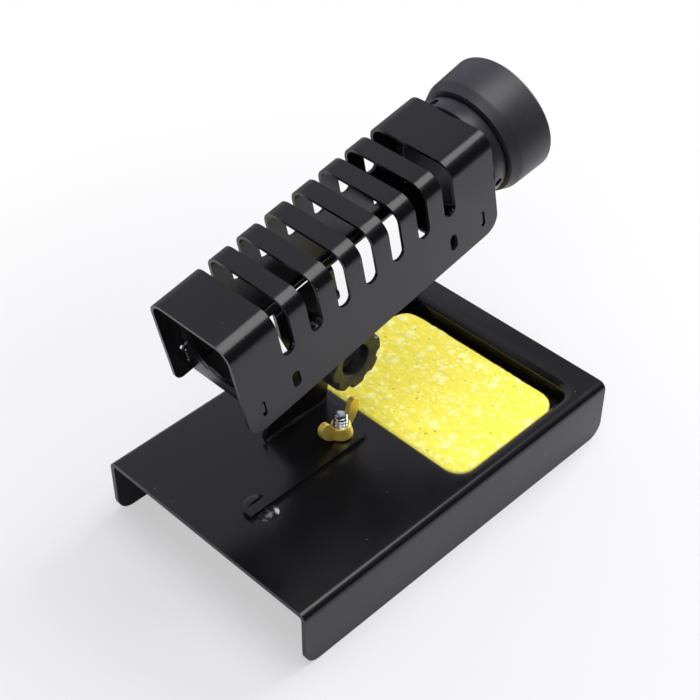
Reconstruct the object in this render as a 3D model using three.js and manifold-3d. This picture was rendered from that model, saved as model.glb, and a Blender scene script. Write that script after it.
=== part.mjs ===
// Soldering iron stand: a folded sheet-steel base with a drawn tray and its sponge, an L-shaped
// bracket held by a wing nut, and a slotted holder with a plastic funnel that tilts on a knob.
// Millimetres, +Z up. The origin is on the bench, under the middle of the base.
// +X runs along the base towards the sponge and the funnel, +Y towards the tilt bolt's head.

import * as THREE from 'three';
import { mergeVertices } from 'three/addons/utils/BufferGeometryUtils.js';
import Module from 'manifold-3d';

const wasm = await Module();
wasm.setup();

// ---------------------------------------------------------------- driving dimensions

// clearances
const seatGap = 0.3;          // between pieces that seat on each other in the tilted holder
const turningGap = 0.3;       // between a turning piece and its seat

// base: an upside-down U of sheet
const baseLength = 150;
const baseWidth = 96;
const baseHeight = 24.5;
const baseSheet = 1.8;
const baseBendRadius = 3;     // outside of the two long bends
const flangeCornerRadius = 6; // bottom corners of the two flanges

// drawn tray
const trayLength = 59;        // wall to wall along X
const trayWidth = 80;
const trayDepth = 10;
const trayEndMargin = 12;     // from the far end of the base to the tray's wall
const traySideShift = -1;     // the tray sits a little towards the front
const trayRimRadius = 3;      // rolled edge round the tray
const trayFloorRadius = 2.5;
const trayCornerRadius = 6;

// sponge
const spongeThickness = 6.4;
const spongeCornerRadius = 8;
const spongeNearGap = 0.8;    // to the tray's near wall and its front wall
const spongeEndGap = 4.8;     // to the tray's end wall
const spongeBackGap = 3.8;    // to the tray's back wall
const spongeCrown = 0.5;      // how far the middle swells above the edge

// clamp screw and wing nut
const clampBeforeTray = 15.5; // from the tray's near wall back to the clamp screw
const clampSideShift = 0.4;
const clampThread = 5;
const clampHole = 5.6;
const clampHeadDiameter = 9.5;
const clampHeadHeight = 3;
const clampWasherDiameter = 12;
const clampWasherThickness = 1;
const clampStandOut = 8.8;     // thread that shows above the bracket's foot
const wingBossDiameter = 8.8;
const wingBossTopDiameter = 6.9;
const wingBossHeight = 4.7;
const wingSpan = 19.4;
const wingHeight = 11.6;
const wingThickness = 2;
const wingTurn = 3;           // degrees from +X
const wingLean = 6;           // degrees, the cast wings stand this much askew

// support bracket
const bracketSheet = 1.6;
const bracketBendRadius = 1.2; // inside
const bracketStem = 29.5;     // width of the upright where it leaves the foot
const bracketStemOffset = 20.5; // from the clamp screw back to the upright's near edge
const uprightY = 16.5;        // front face of the upright
const footFrontY = -6.2;      // front edge of the foot
const footCornerRadius = 5;
const footSlope = 51;         // degrees, near edge of the foot against +X
const tongueWidth = 3.6;
const tongueReach = 47.9;     // from the clamp screw to the tongue's tip
const tongueFillet = 12;
const uprightHeadRadius = 8.5;
const riseRadius = 4.3;       // half-round rises that key the tongue
const riseHeight = 1.7;
const riseFromTip = 6.1;      // from the tongue's tip to the pair of rises
const riseGap = 0.8;          // between the tongue and the sheared face of a rise
const riseRoot = 0.6;         // metal left behind the sheared face

// tilt pivot
const pivotAfterClamp = 5.5;  // from the clamp screw on to the pivot, along X
const pivotHeight = 33.2;     // above the base's top face
const pivotThread = 6;
const pivotHole = 6.7;
const pivotHeadAcrossFlats = 10;
const pivotHeadHeight = 4;
const pivotWasherDiameter = 12;
const pivotWasherThickness = 1;
const springWasherDiameter = 11;
const springWasherThickness = 1.6;
const springWasherSlit = 1.2;
const washerClearance = 0.25; // radial, round either thread

// knob
const knobDiameter = 23.5;
const knobHeadThickness = 10.1;
const knobHubDiameter = 14;
const knobHubLength = 5.4;
const knobLobes = 8;
const knobNotchRadius = 2;
const knobNotchDepth = 1.4;
const knobTurn = -16.4;       // degrees, first notch against +X
const knobEdgeChamfer = 0.5;
const knobDish = 0.5;         // the face sinks this much from its rim to the recess
const knobRecessDiameter = 12;
const knobRecessDepth = 4.5;
const insertDiameter = 9;
const insertLength = 9;
const insertGap = 0.15;

// holder cage: measured along the cage from its near end and up from its lower edges
const holderTilt = 11.2;      // degrees above level
const cageLength = 114;
const cageWidth = 36;
const cageHeight = 39.8;
const cageSheet = 1.2;
const cageBendRadius = 5;     // outside of the two top bends
const cageCornerRadius = 6;   // bottom corners of the side walls
const cageCentreY = 4.3;
const pivotAlong = 53.5;      // pivot, from the near end
const pivotBelow = 22.2;      // pivot, below the lower edges
const slotCount = 7;
const slotPitch = 12;
const slotWidth = 5.2;
const slotBottom = 21;        // lowest point of a slot's round end
const lipWidth = 3.8;         // bottom lip of the far wall, turned in
const lipEndMargin = 10;
const lipBendRadius = 1.6;    // outside
const lipRelief = 1.8;        // the far wall's edge, cut back beyond the lip's ends
const farCornerRadius = 3;    // bottom corners of the far wall
const keyHoleAlong = 5.4;     // small hole in the far wall, in front of the ring plate
const keyHoleCentre = 13;
const keyHoleWidth = 1.3;
const keyHoleHeight = 2.6;
const wallHoleWidth = 3.3;
const wallHoleHeight = 6.7;
const wallHoleCentre = 9;

// ring plates
const ringInset = 6.9;        // plate's middle, from either end of the cage
const ringTabHeight = 5.8;
const ringTabCentre = 8.3;
const ringFlange = 11.3;
const ringHoleRadius = 14.3;
const ringNotchRadius = 15.9;
const ringNotchAngle = 26;    // degrees of arc
const ringBendRadius = 1.9;   // outside, at the foot of the plate
const ringNotches = 4;
const ringNotchTurn = -4.5;   // degrees, the notches' middles against the diagonals

// pivot lug
const lugSheet = 1.6;
const lugWidth = 27;
const lugEndRadius = 11;
const lugShoulder = 12;       // straight sides below the cage
const lugTabWidth = 11.6;
const lugTabLength = 12.4;
const lugBendRadius = 0.8;    // inside
const lugSlit = 0.6;          // between the tab turned in and the flanges turned out

// funnel, measured from the far end of the cage along its own axis
const funnelAxisHeight = 22.4; // above the cage's lower edges
const funnelBore = 25;
const neckDiameter = 36.6;
const neckLength = 5.6;
const bayonetThickness = 2.4;
const bayonetAngle = 22;      // the neck's four lugs pass the rear ring's notches and turn behind it
const neckHoleDiameter = 3.3;
const neckHoleEdge = 0.15;    // wall left between a hole and the collar's inner face
const neckHoles = 3;
const neckHoleStart = 64;     // degrees from +Y towards up
const neckHoleStep = 131;
const grooveWidth = 0.9;
const grooveDiameter = 33.8;
const bellBackDiameter = 39.2;
const bellShoulderDiameter = 42.1;
const bellRimDiameter = 43.3;
const bellLength = 18;
const bellMouthDiameter = 40;
const bellEdgeRadius = 1;
const bellSocketDepth = 3.6;

// ---------------------------------------------------------------- worked-out places

const rad = THREE.MathUtils.degToRad;
const baseTop = baseHeight;
const baseUnderside = baseTop - baseSheet;
const footTop = baseTop + bracketSheet;
const uprightBack = uprightY + bracketSheet;
const pivotZ = baseTop + pivotHeight;
const trayX = baseLength / 2 - trayEndMargin - trayLength / 2;
const clampX = trayX - trayLength / 2 - clampBeforeTray;
const pivotX = clampX + pivotAfterClamp;
const ringHalfPitch = cageLength / 2 - ringInset;
const slotHalfSpan = (slotCount - 1) / 2 * slotPitch;

const paint = { color: 0x1d1d20, roughness: 0.42, metalness: 0.1 };
const zinc = { color: 0xb9c2cc, roughness: 0.28, metalness: 0.9 };
const brass = { color: 0xc4ad4a, roughness: 0.35, metalness: 0.85 };
const phenolic = { color: 0x141413, roughness: 0.5, metalness: 0 };
const funnelPlastic = { color: 0x22222a, roughness: 0.6, metalness: 0 };
const cellulose = { color: 0xf7e74a, roughness: 0.95, metalness: 0 };

// ---------------------------------------------------------------- solids

function triangles(geometry) {
  const bare = geometry.index ? geometry : geometry.clone();
  bare.deleteAttribute('normal');
  bare.deleteAttribute('uv');
  const merged = mergeVertices(bare, 1e-4);
  const index = [...merged.index.array];
  const kept = [];
  for (let i = 0; i < index.length; i += 3) {
    const [a, b, c] = index.slice(i, i + 3);
    if (a !== b && b !== c && c !== a) kept.push(a, b, c);
  }
  return { positions: merged.attributes.position.array, kept };
}

function signedVolume(positions, index) {
  const p = (i) => new THREE.Vector3().fromArray(positions, 3 * i);
  let sum = 0;
  for (let i = 0; i < index.length; i += 3) {
    sum += p(index[i]).dot(p(index[i + 1]).cross(p(index[i + 2]))) / 6;
  }
  return sum;
}

// Turns closed three.js geometry into a solid, with its faces pointing out.
function solid(geometry) {
  const { positions, kept } = triangles(geometry);
  if (signedVolume(positions, kept) < 0) kept.reverse();
  const mesh = new wasm.Mesh({
    numProp: 3,
    vertProperties: new Float32Array(positions),
    triVerts: new Uint32Array(kept),
  });
  return new wasm.Manifold(mesh);
}

function geometryOf(manifold) {
  const mesh = manifold.getMesh();
  const geometry = new THREE.BufferGeometry();
  geometry.setAttribute('position', new THREE.BufferAttribute(mesh.vertProperties, 3));
  geometry.setIndex(new THREE.BufferAttribute(mesh.triVerts, 1));
  geometry.computeVertexNormals();
  return geometry;
}

const moved = (geometry, x, y, z) => geometry.translate(x, y, z);

// A flat outline given as three.js points or arcs, pushed along one axis.
function extruded(shape, depth, curveSegments = 6) {
  return new THREE.ExtrudeGeometry(shape, { depth, steps: 1, bevelEnabled: false, curveSegments });
}

const axisX = new THREE.Vector3(1, 0, 0);
const axisY = new THREE.Vector3(0, 1, 0);
const axisZ = new THREE.Vector3(0, 0, 1);

// outline in (y, z), from x = from to x = to
function alongX(shape, from, to, curveSegments) {
  const geometry = extruded(shape, to - from, curveSegments);
  geometry.applyMatrix4(new THREE.Matrix4().makeBasis(axisY, axisZ, axisX));
  return solid(moved(geometry, from, 0, 0));
}

// outline in (x, z), from y = from to y = to
function alongY(shape, from, to, curveSegments) {
  const geometry = extruded(shape, to - from, curveSegments);
  const basis = new THREE.Matrix4().makeBasis(axisX, axisZ, axisY.clone().negate());
  geometry.applyMatrix4(basis);
  return solid(moved(geometry, 0, to, 0));
}

// outline in (x, y), from z = from to z = to
function alongZ(shape, from, to, curveSegments) {
  return solid(moved(extruded(shape, to - from, curveSegments), 0, 0, from));
}

// Profile points are [radius, distance along the axis]; the profile closes on itself or the axis.
function turned(profile, segments, axis, x, y, z) {
  const points = profile.map(([r, a]) => new THREE.Vector2(r, a));
  const touchesAxis = profile[0][0] === 0 && profile.at(-1)[0] === 0;
  if (!touchesAxis) points.push(points[0].clone());
  const geometry = new THREE.LatheGeometry(points, segments);
  if (axis === 'x') geometry.rotateZ(-Math.PI / 2);
  if (axis === 'z') geometry.rotateX(Math.PI / 2);
  return solid(moved(geometry, x, y, z));
}

const cylinder = (radius, from, to, segments, axis, x, y, z) =>
  turned([[0, from], [radius, from], [radius, to], [0, to]], segments, axis, x, y, z);

const washer = (inner, outer, from, to, segments, axis, x, y, z) =>
  turned([[inner, from], [outer, from], [outer, to], [inner, to]], segments, axis, x, y, z);

function polygon(points) {
  return new THREE.Shape(points.map(([a, b]) => new THREE.Vector2(a, b)));
}

function rectangle(a0, b0, a1, b1) {
  return polygon([[a0, b0], [a1, b0], [a1, b1], [a0, b1]]);
}

// Rectangle whose two lower corners are rounded.
function roundedBelow(a0, b0, a1, b1, radius) {
  const shape = new THREE.Shape();
  shape.moveTo(a1, b1);
  shape.lineTo(a0, b1);
  shape.lineTo(a0, b0 + radius);
  shape.absarc(a0 + radius, b0 + radius, radius, Math.PI, 1.5 * Math.PI, false);
  shape.absarc(a1 - radius, b0 + radius, radius, 1.5 * Math.PI, 2 * Math.PI, false);
  shape.closePath();
  return shape;
}

// Slot with two round ends, upright, centred on (a, b).
function obround(a, b, width, height) {
  const r = width / 2;
  const half = height / 2 - r;
  const shape = new THREE.Shape();
  shape.absarc(a, b + half, r, 0, Math.PI, false);
  shape.absarc(a, b - half, r, Math.PI, 2 * Math.PI, false);
  shape.closePath();
  return shape;
}

// Ring of points round a rounded rectangle, grown by offset and set at height z.
function roundedRing(cx, cy, length, width, radius, offset, z, perCorner) {
  const r = radius + offset;
  const hx = length / 2 - radius;
  const hy = width / 2 - radius;
  const ring = [];
  const corners = [[hx, hy, 0], [-hx, hy, 90], [-hx, -hy, 180], [hx, -hy, 270]];
  for (const [x, y, start] of corners) {
    for (let i = 0; i <= perCorner; i += 1) {
      const a = rad(start + 90 * i / perCorner);
      ring.push([cx + x + r * Math.cos(a), cy + y + r * Math.sin(a), z]);
    }
  }
  return ring;
}

// Closed skin over rings of equal point count, listed from top to bottom, with flat ends.
function lofted(rings) {
  const count = rings[0].length;
  const positions = rings.flat(2);
  const index = [];
  for (let k = 0; k + 1 < rings.length; k += 1) {
    for (let i = 0; i < count; i += 1) {
      const j = (i + 1) % count;
      const [a, b, c, d] = [k * count + i, k * count + j, (k + 1) * count + j, (k + 1) * count + i];
      index.push(a, c, b, a, d, c);
    }
  }
  for (const [ring, base] of [[rings[0], 0], [rings.at(-1), (rings.length - 1) * count]]) {
    const middle = positions.length / 3;
    const sum = ring.reduce((s, p) => [s[0] + p[0], s[1] + p[1], s[2] + p[2]], [0, 0, 0]);
    positions.push(sum[0] / count, sum[1] / count, sum[2] / count);
    for (let i = 0; i < count; i += 1) {
      const j = (i + 1) % count;
      if (base === 0) index.push(middle, i, j);
      else index.push(middle, base + j, base + i);
    }
  }
  const geometry = new THREE.BufferGeometry();
  geometry.setAttribute('position', new THREE.Float32BufferAttribute(positions, 3));
  geometry.setIndex(index);
  return solid(geometry);
}

// ---------------------------------------------------------------- base and sponge

// Offset and height of the tray's sheet, from the flat top to the floor. side 0 is the face
// seen from above, side 1 the underside.
function trayProfile(side) {
  const t = side * baseSheet;
  const rim = trayRimRadius - t;
  const floor = trayFloorRadius + t;
  const steps = [];
  for (let i = 0; i <= 4; i += 1) {
    const a = rad(90 * i / 4);
    steps.push([trayRimRadius - rim * Math.sin(a), -trayRimRadius + rim * Math.cos(a)]);
  }
  for (let i = 0; i <= 3; i += 1) {
    const a = rad(90 * i / 3);
    steps.push([
      -trayFloorRadius + floor * Math.cos(a),
      -trayDepth + trayFloorRadius - floor * Math.sin(a),
    ]);
  }
  return steps;
}

function trayLoft(side) {
  const steps = trayProfile(side);
  const lead = side === 0 ? 1 : -baseSheet / 2;
  const profile = [[steps[0][0], lead], ...steps];
  if (side === 0) profile.splice(1, 0, [steps[0][0], 0.02]);
  const rings = profile.map(([offset, z]) => roundedRing(
    trayX, traySideShift, trayLength, trayWidth, trayCornerRadius, offset, baseTop + z, 5,
  ));
  return lofted(side === 0 ? [rings[0], ...rings.slice(2)] : rings);
}

function basePlate() {
  const half = baseWidth / 2;
  const outer = baseBendRadius;
  const inner = baseBendRadius - baseSheet;
  const section = new THREE.Shape();
  section.moveTo(half, 0);
  section.lineTo(half, baseTop - outer);
  section.absarc(half - outer, baseTop - outer, outer, 0, Math.PI / 2, false);
  section.absarc(-half + outer, baseTop - outer, outer, Math.PI / 2, Math.PI, false);
  section.lineTo(-half, 0);
  section.lineTo(-half + baseSheet, 0);
  section.absarc(-half + outer, baseTop - outer, inner, Math.PI, Math.PI / 2, true);
  section.absarc(half - outer, baseTop - outer, inner, Math.PI / 2, 0, true);
  section.lineTo(half - baseSheet, 0);
  section.closePath();
  const margin = 5;
  const end = baseLength / 2;
  const folded = alongX(section, -end - margin, end + margin, 5);
  const side = roundedBelow(-end, 0, end, baseTop + margin, flangeCornerRadius);
  const cut = folded.intersect(alongY(side, -half - margin, half + margin, 6));
  const drawn = cut.add(trayLoft(1)).subtract(trayLoft(0));
  const hole = cylinder(clampHole / 2, -margin, margin, 24, 'z', clampX, clampSideShift, baseTop);
  return keyed(drawn.subtract(hole));
}

// The two half-round rises that key the bracket's tongue, sheared and pressed up from below.
function keyed(plate) {
  const x = clampX - tongueReach + riseFromTip;
  const middle = footFrontY + tongueWidth / 2;
  const reach = tongueWidth / 2 + riseGap;
  const sphere = (riseRadius ** 2 + riseHeight ** 2) / (2 * riseHeight);
  const r = riseRadius + 1;
  let result = plate;
  for (const side of [-1, 1]) {
    const y = middle + side * reach;
    const beyond = (from, low, high) => {
      const ends = [y + side * from, y + side * r];
      return alongZ(rectangle(x - r, Math.min(...ends), x + r, Math.max(...ends)), low, high);
    };
    const ball = (drop) => solid(moved(
      new THREE.SphereGeometry(sphere, 28, 18).rotateX(Math.PI / 2),
      x, y, baseTop + riseHeight - sphere - drop,
    ));
    const rise = ball(0).intersect(beyond(0, baseTop - baseSheet / 2, baseTop + 5));
    const hollow = ball(baseSheet).intersect(beyond(riseRoot, baseUnderside - 5, baseTop));
    result = result.add(rise).subtract(hollow);
  }
  return result;
}

function cleaningSponge() {
  const low = baseTop - trayDepth + seatGap;
  const high = low + spongeThickness;
  const length = trayLength - spongeNearGap - spongeEndGap;
  const width = trayWidth - spongeNearGap - spongeBackGap;
  const x = trayX + (spongeNearGap - spongeEndGap) / 2;
  const y = traySideShift + (spongeNearGap - spongeBackGap) / 2;
  const edge = 0.7;
  const ring = (offset, z) => roundedRing(
    x, y, length, width, spongeCornerRadius, offset, z, 5,
  );
  const crown = [0.15, 0.5, 0.85].map((f) => {
    const inset = -edge - f * (spongeCornerRadius - 2 * edge);
    return ring(inset, high + spongeCrown * Math.sin(f * Math.PI / 2));
  });
  return lofted([
    ...crown.reverse(),
    ring(-edge, high),
    ring(0, high - edge),
    ring(-edge / 2, (low + high) / 2),
    ring(0, low + edge),
    ring(-edge, low),
  ]);
}

// ---------------------------------------------------------------- bracket and clamp

function footOutline() {
  const near = clampX - bracketStemOffset;
  const far = near + bracketStem;
  const tip = clampX - tongueReach;
  const back = uprightBack;
  const tongueBack = footFrontY + tongueWidth;
  const slope = rad(footSlope);
  const meetX = near - (uprightY - tongueBack) / Math.tan(slope);
  const tangent = tongueFillet * Math.tan(slope / 2);
  const shape = new THREE.Shape();
  shape.moveTo(far, back);
  shape.lineTo(near, back);
  shape.lineTo(near, uprightY);
  shape.lineTo(meetX + tangent * Math.cos(slope), tongueBack + tangent * Math.sin(slope));
  shape.absarc(meetX - tangent, tongueBack + tongueFillet, tongueFillet, slope - Math.PI / 2,
    -Math.PI / 2, true);
  shape.lineTo(tip, tongueBack);
  shape.lineTo(tip, footFrontY);
  shape.absarc(far - footCornerRadius, footFrontY + footCornerRadius, footCornerRadius,
    -Math.PI / 2, 0, false);
  shape.closePath();
  return shape;
}

// Sides that run tangent from the width a0..a1 at height b onto a round head, as a closed
// outline in (x, z); beyond b they go on parallel as far as the height root.
function taperedTo(a0, a1, b, root, centreA, centreB, radius) {
  const shape = new THREE.Shape();
  const angle = (a, side) => {
    const da = a - centreA;
    const db = b - centreB;
    const distance = Math.hypot(da, db);
    return Math.atan2(db, da) + side * Math.acos(radius / distance);
  };
  const up = b < centreB ? 1 : -1;
  const start = angle(a1, up);
  const stop = angle(a0, -up);
  shape.moveTo(a1, root);
  shape.lineTo(a1, b);
  shape.absarc(centreA, centreB, radius, start, stop, up < 0);
  shape.lineTo(a0, b);
  shape.lineTo(a0, root);
  shape.closePath();
  return shape;
}

function supportBracket() {
  const inner = bracketBendRadius;
  const outer = inner + bracketSheet;
  const high = pivotZ + uprightHeadRadius + 5;
  const low = footFrontY - 5;
  const bendY = uprightY - inner;
  const bendZ = footTop + inner;
  const section = new THREE.Shape();
  section.moveTo(low, baseTop);
  section.absarc(bendY, bendZ, outer, -Math.PI / 2, 0, false);
  section.lineTo(uprightBack, high);
  section.lineTo(uprightY, high);
  section.absarc(bendY, bendZ, inner, 0, -Math.PI / 2, true);
  section.lineTo(low, footTop);
  section.closePath();
  const near = clampX - bracketStemOffset;
  const far = near + bracketStem;
  const folded = alongX(section, clampX - tongueReach - 5, far + 20, 5);
  const foot = alongZ(footOutline(), baseTop - 1, bendZ, 8);
  const profile = taperedTo(near, far, baseTop, baseTop - 1, pivotX, pivotZ, uprightHeadRadius);
  const upright = alongY(profile, uprightY - inner - 0.01, uprightBack + 1, 16);
  const blank = folded.intersect(foot.add(upright));
  const stud = cylinder(clampHole / 2, -5, 5, 24, 'z', clampX, clampSideShift, baseTop);
  const pin = cylinder(pivotHole / 2, -5, 5, 24, 'y', pivotX, uprightY, pivotZ);
  return blank.subtract(stud).subtract(pin);
}

function clampScrew() {
  const headTop = baseUnderside - clampWasherThickness;
  const headLow = headTop - clampHeadHeight;
  const r = clampThread / 2;
  const head = clampHeadDiameter / 2;
  const top = footTop + clampStandOut;
  return turned([
    [0, headLow], [head - 1.2, headLow], [head - 0.3, headLow + 0.9], [head, headLow + 1.9],
    [head, headTop], [r, headTop], [r, top - 0.6], [r - 0.6, top], [0, top],
  ], 24, 'z', clampX, clampSideShift, 0);
}

function clampWasher() {
  const inner = clampThread / 2 + washerClearance;
  const low = baseUnderside - clampWasherThickness;
  return washer(inner, clampWasherDiameter / 2, low, baseUnderside, 24, 'z', clampX, clampSideShift, 0);
}

// A wing leans out from the boss and ends in a rounded lobe.
function wingOutline(side) {
  const reach = wingSpan / 2;
  const root = wingBossDiameter / 2;
  const shape = new THREE.Shape();
  const at = (x, z) => [side * x, z];
  shape.moveTo(...at(root - 1.6, 0.7));
  shape.lineTo(...at(root - 0.3, 0.7));
  shape.quadraticCurveTo(...at(root + 2.8, wingHeight * 0.2), ...at(reach - 0.6, wingHeight * 0.53));
  shape.quadraticCurveTo(...at(reach + 0.6, wingHeight * 0.8), ...at(reach - 0.9, wingHeight * 0.93));
  shape.quadraticCurveTo(...at(reach - 2.5, wingHeight * 1.07), ...at(reach - 4.4, wingHeight * 0.89));
  shape.quadraticCurveTo(...at(root - 0.5, wingHeight * 0.65), ...at(root - 1.2, wingBossHeight - 0.9));
  shape.closePath();
  return shape;
}

function wingNut() {
  const boss = turned([
    [0, 0], [wingBossDiameter / 2, 0], [wingBossDiameter / 2, 1],
    [wingBossTopDiameter / 2, wingBossHeight], [0, wingBossHeight],
  ], 24, 'z', 0, 0, 0);
  let body = boss;
  const hub = wingBossHeight / 2;
  for (const side of [-1, 1]) {
    const wing = alongY(wingOutline(side), -wingThickness / 2, wingThickness / 2, 5)
      .translate([0, 0, -hub]).rotate([0, -wingLean, 0]).translate([0, 0, hub]);
    body = body.add(wing);
  }
  const bore = cylinder(clampThread / 2 + turningGap, -5, 20, 24, 'z', 0, 0, 0);
  return body.subtract(bore).rotate([0, 0, wingTurn])
    .translate([clampX, clampSideShift, footTop + turningGap]);
}

// ---------------------------------------------------------------- tilt pivot, front to back

const lugFront = uprightBack + seatGap;
const lugBack = lugFront + lugSheet;
const boltWasherFront = lugBack + seatGap;
const boltHeadFront = boltWasherFront + pivotWasherThickness;
const knobWasherFront = uprightY - pivotWasherThickness;
const springWasherFront = knobWasherFront - springWasherThickness;
const knobBack = springWasherFront - turningGap;
const knobFace = knobBack - knobHubLength - knobHeadThickness;
const boltEnd = knobBack - insertLength + 0.5;

function pivotBolt() {
  const r = pivotThread / 2;
  const hexRadius = pivotHeadAcrossFlats / 2 / Math.cos(Math.PI / 6);
  const head = turned([
    [0, 0], [hexRadius, 0], [hexRadius, pivotHeadHeight - 0.5],
    [hexRadius - 0.8, pivotHeadHeight], [0, pivotHeadHeight],
  ], 6, 'y', pivotX, boltHeadFront, pivotZ);
  const shank = turned([
    [0, boltEnd], [r - 0.6, boltEnd], [r, boltEnd + 0.6], [r, boltHeadFront + 1], [0, boltHeadFront + 1],
  ], 24, 'y', pivotX, 0, pivotZ);
  return shank.add(head);
}

const pivotRing = (outer, from, thickness) => washer(
  pivotThread / 2 + washerClearance, outer / 2, from, from + thickness, 24, 'y', pivotX, 0, pivotZ,
);

function knobSpringWasher() {
  const ring = pivotRing(springWasherDiameter, springWasherFront, springWasherThickness);
  const reach = springWasherDiameter;
  const half = springWasherSlit / 2;
  const slit = alongY(rectangle(-half, 0, half, reach), -reach, reach);
  return ring.subtract(slit.translate([pivotX, springWasherFront, pivotZ]));
}

function knobOutline(radius) {
  const notchCentre = radius + knobNotchRadius - knobNotchDepth;
  const cosine = (radius ** 2 + notchCentre ** 2 - knobNotchRadius ** 2) / (2 * radius * notchCentre);
  const half = Math.acos(cosine);
  const pitch = 2 * Math.PI / knobLobes;
  const shape = new THREE.Shape();
  for (let k = 0; k < knobLobes; k += 1) {
    const notch = rad(knobTurn) + k * pitch;
    shape.absarc(0, 0, radius, notch + half, notch + pitch - half, false);
    const nx = notchCentre * Math.cos(notch + pitch);
    const nz = notchCentre * Math.sin(notch + pitch);
    const toStart = Math.atan2(
      radius * Math.sin(notch + pitch - half) - nz, radius * Math.cos(notch + pitch - half) - nx,
    );
    const toEnd = Math.atan2(
      radius * Math.sin(notch + pitch + half) - nz, radius * Math.cos(notch + pitch + half) - nx,
    );
    shape.absarc(nx, nz, knobNotchRadius, toStart, toEnd, true);
  }
  shape.closePath();
  return shape;
}

function tiltKnob() {
  const radius = knobDiameter / 2;
  const headBack = knobFace + knobHeadThickness;
  const scalloped = alongY(knobOutline(radius), knobFace - 1, headBack + 1, 3);
  const c = knobEdgeChamfer;
  const blank = turned([
    [0, knobFace + knobDish], [knobRecessDiameter / 2, knobFace + knobDish],
    [radius - 2.4 * c, knobFace], [radius - c, knobFace + 0.35 * c],
    [radius + 0.01, knobFace + 1.4 * c], [radius + 0.01, headBack - c],
    [radius - c, headBack], [0, headBack],
  ], 48, 'y', 0, 0, 0);
  const hub = cylinder(knobHubDiameter / 2, headBack - 1, knobBack, 24, 'y', 0, 0, 0);
  const recess = turned([
    [0, knobFace - 1], [knobRecessDiameter / 2 + 0.4, knobFace - 1],
    [knobRecessDiameter / 2 + 0.4, knobFace + knobDish], [knobRecessDiameter / 2, knobFace + knobDish + 0.4],
    [knobRecessDiameter / 2, knobFace + knobRecessDepth], [0, knobFace + knobRecessDepth],
  ], 32, 'y', 0, 0, 0);
  const socket = insertDiameter / 2 + insertGap;
  const pocket = cylinder(socket, knobBack - insertLength - insertGap, knobBack + 1, 24, 'y', 0, 0, 0);
  return scalloped.intersect(blank).add(hub).subtract(recess).subtract(pocket)
    .translate([pivotX, 0, pivotZ]);
}

const knobInsert = () => washer(
  pivotThread / 2 + turningGap, insertDiameter / 2, knobBack - insertLength, knobBack,
  24, 'y', pivotX, 0, pivotZ,
);

// ---------------------------------------------------------------- tilted holder
// Outlines here are in the cage's own frame: x along the cage from its near end, z up from its
// lower edges, y as in the stand. The group below puts the pivot at its origin.

const cageFrontY = cageCentreY - cageWidth / 2;
const cageBackY = cageCentreY + cageWidth / 2;
const cageInnerTop = cageHeight - cageSheet;

function cageSection() {
  const outer = cageBendRadius;
  const inner = cageBendRadius - cageSheet;
  const lipInner = lipBendRadius - cageSheet;
  const yf = cageFrontY;
  const yb = cageBackY;
  const shape = new THREE.Shape();
  shape.moveTo(yf, 0);
  shape.lineTo(yf + cageSheet, 0);
  shape.absarc(yf + outer, cageHeight - outer, inner, Math.PI, Math.PI / 2, true);
  shape.absarc(yb - outer, cageHeight - outer, inner, Math.PI / 2, 0, true);
  shape.absarc(yb - lipBendRadius, lipBendRadius, lipInner, 0, -Math.PI / 2, true);
  shape.lineTo(yb - lipWidth, cageSheet);
  shape.lineTo(yb - lipWidth, 0);
  shape.absarc(yb - lipBendRadius, lipBendRadius, lipBendRadius, -Math.PI / 2, 0, false);
  shape.absarc(yb - outer, cageHeight - outer, outer, 0, Math.PI / 2, false);
  shape.absarc(yf + outer, cageHeight - outer, outer, Math.PI / 2, Math.PI, false);
  shape.closePath();
  return shape;
}

// Side outline of the far wall: cut back at both ends, down to the lip between them.
function farWall(top) {
  const r = farCornerRadius;
  const low = lipRelief;
  const lipStart = lipEndMargin;
  const lipEnd = cageLength - lipEndMargin;
  const shape = new THREE.Shape();
  shape.moveTo(cageLength, top);
  shape.lineTo(0, top);
  shape.absarc(r, low + r, r, Math.PI, 1.5 * Math.PI, false);
  shape.lineTo(lipStart, low);
  shape.lineTo(lipStart, -1);
  shape.lineTo(lipEnd, -1);
  shape.lineTo(lipEnd, low);
  shape.absarc(cageLength - r, low + r, r, 1.5 * Math.PI, 2 * Math.PI, false);
  shape.closePath();
  return shape;
}

function holderCage() {
  const margin = 3;
  const middle = cageLength / 2;
  const through = [cageFrontY - margin, cageBackY + margin];
  const top = cageHeight + margin;
  const front = roundedBelow(0, 0, cageLength, top, cageCornerRadius);
  let cage = alongX(cageSection(), -margin, cageLength + margin, 5).intersect(
    alongY(front, through[0], cageCentreY + 1, 6).add(alongY(farWall(top), cageCentreY, through[1], 5)),
  );
  const notch = lugTabWidth / 2 + lugSlit;
  const clearance = rectangle(cageBackY - lipWidth - 1, -1, lugBack + seatGap, lipBendRadius);
  cage = cage.subtract(alongX(clearance, pivotAlong - notch, pivotAlong + notch));
  const slotHeight = cageHeight + margin - slotBottom;
  for (let k = 0; k < slotCount; k += 1) {
    const x = middle - slotHalfSpan + k * slotPitch;
    const slot = obround(x, slotBottom + slotHeight / 2, slotWidth, slotHeight);
    cage = cage.subtract(alongY(slot, ...through, 6));
  }
  for (const x of [middle - slotHalfSpan, middle + slotHalfSpan]) {
    const hole = obround(x, wallHoleCentre, wallHoleWidth, wallHoleHeight);
    cage = cage.subtract(alongY(hole, ...through, 5));
  }
  for (const x of [middle - ringHalfPitch, middle + ringHalfPitch]) {
    const w = cageSheet / 2 + seatGap;
    const h = ringTabHeight / 2 + seatGap;
    const slit = rectangle(x - w, ringTabCentre - h, x + w, ringTabCentre + h);
    cage = cage.subtract(alongY(slit, ...through));
  }
  const keyHole = obround(keyHoleAlong, keyHoleCentre, keyHoleWidth, keyHoleHeight);
  return cage.subtract(alongY(keyHole, cageCentreY, through[1], 4));
}

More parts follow.
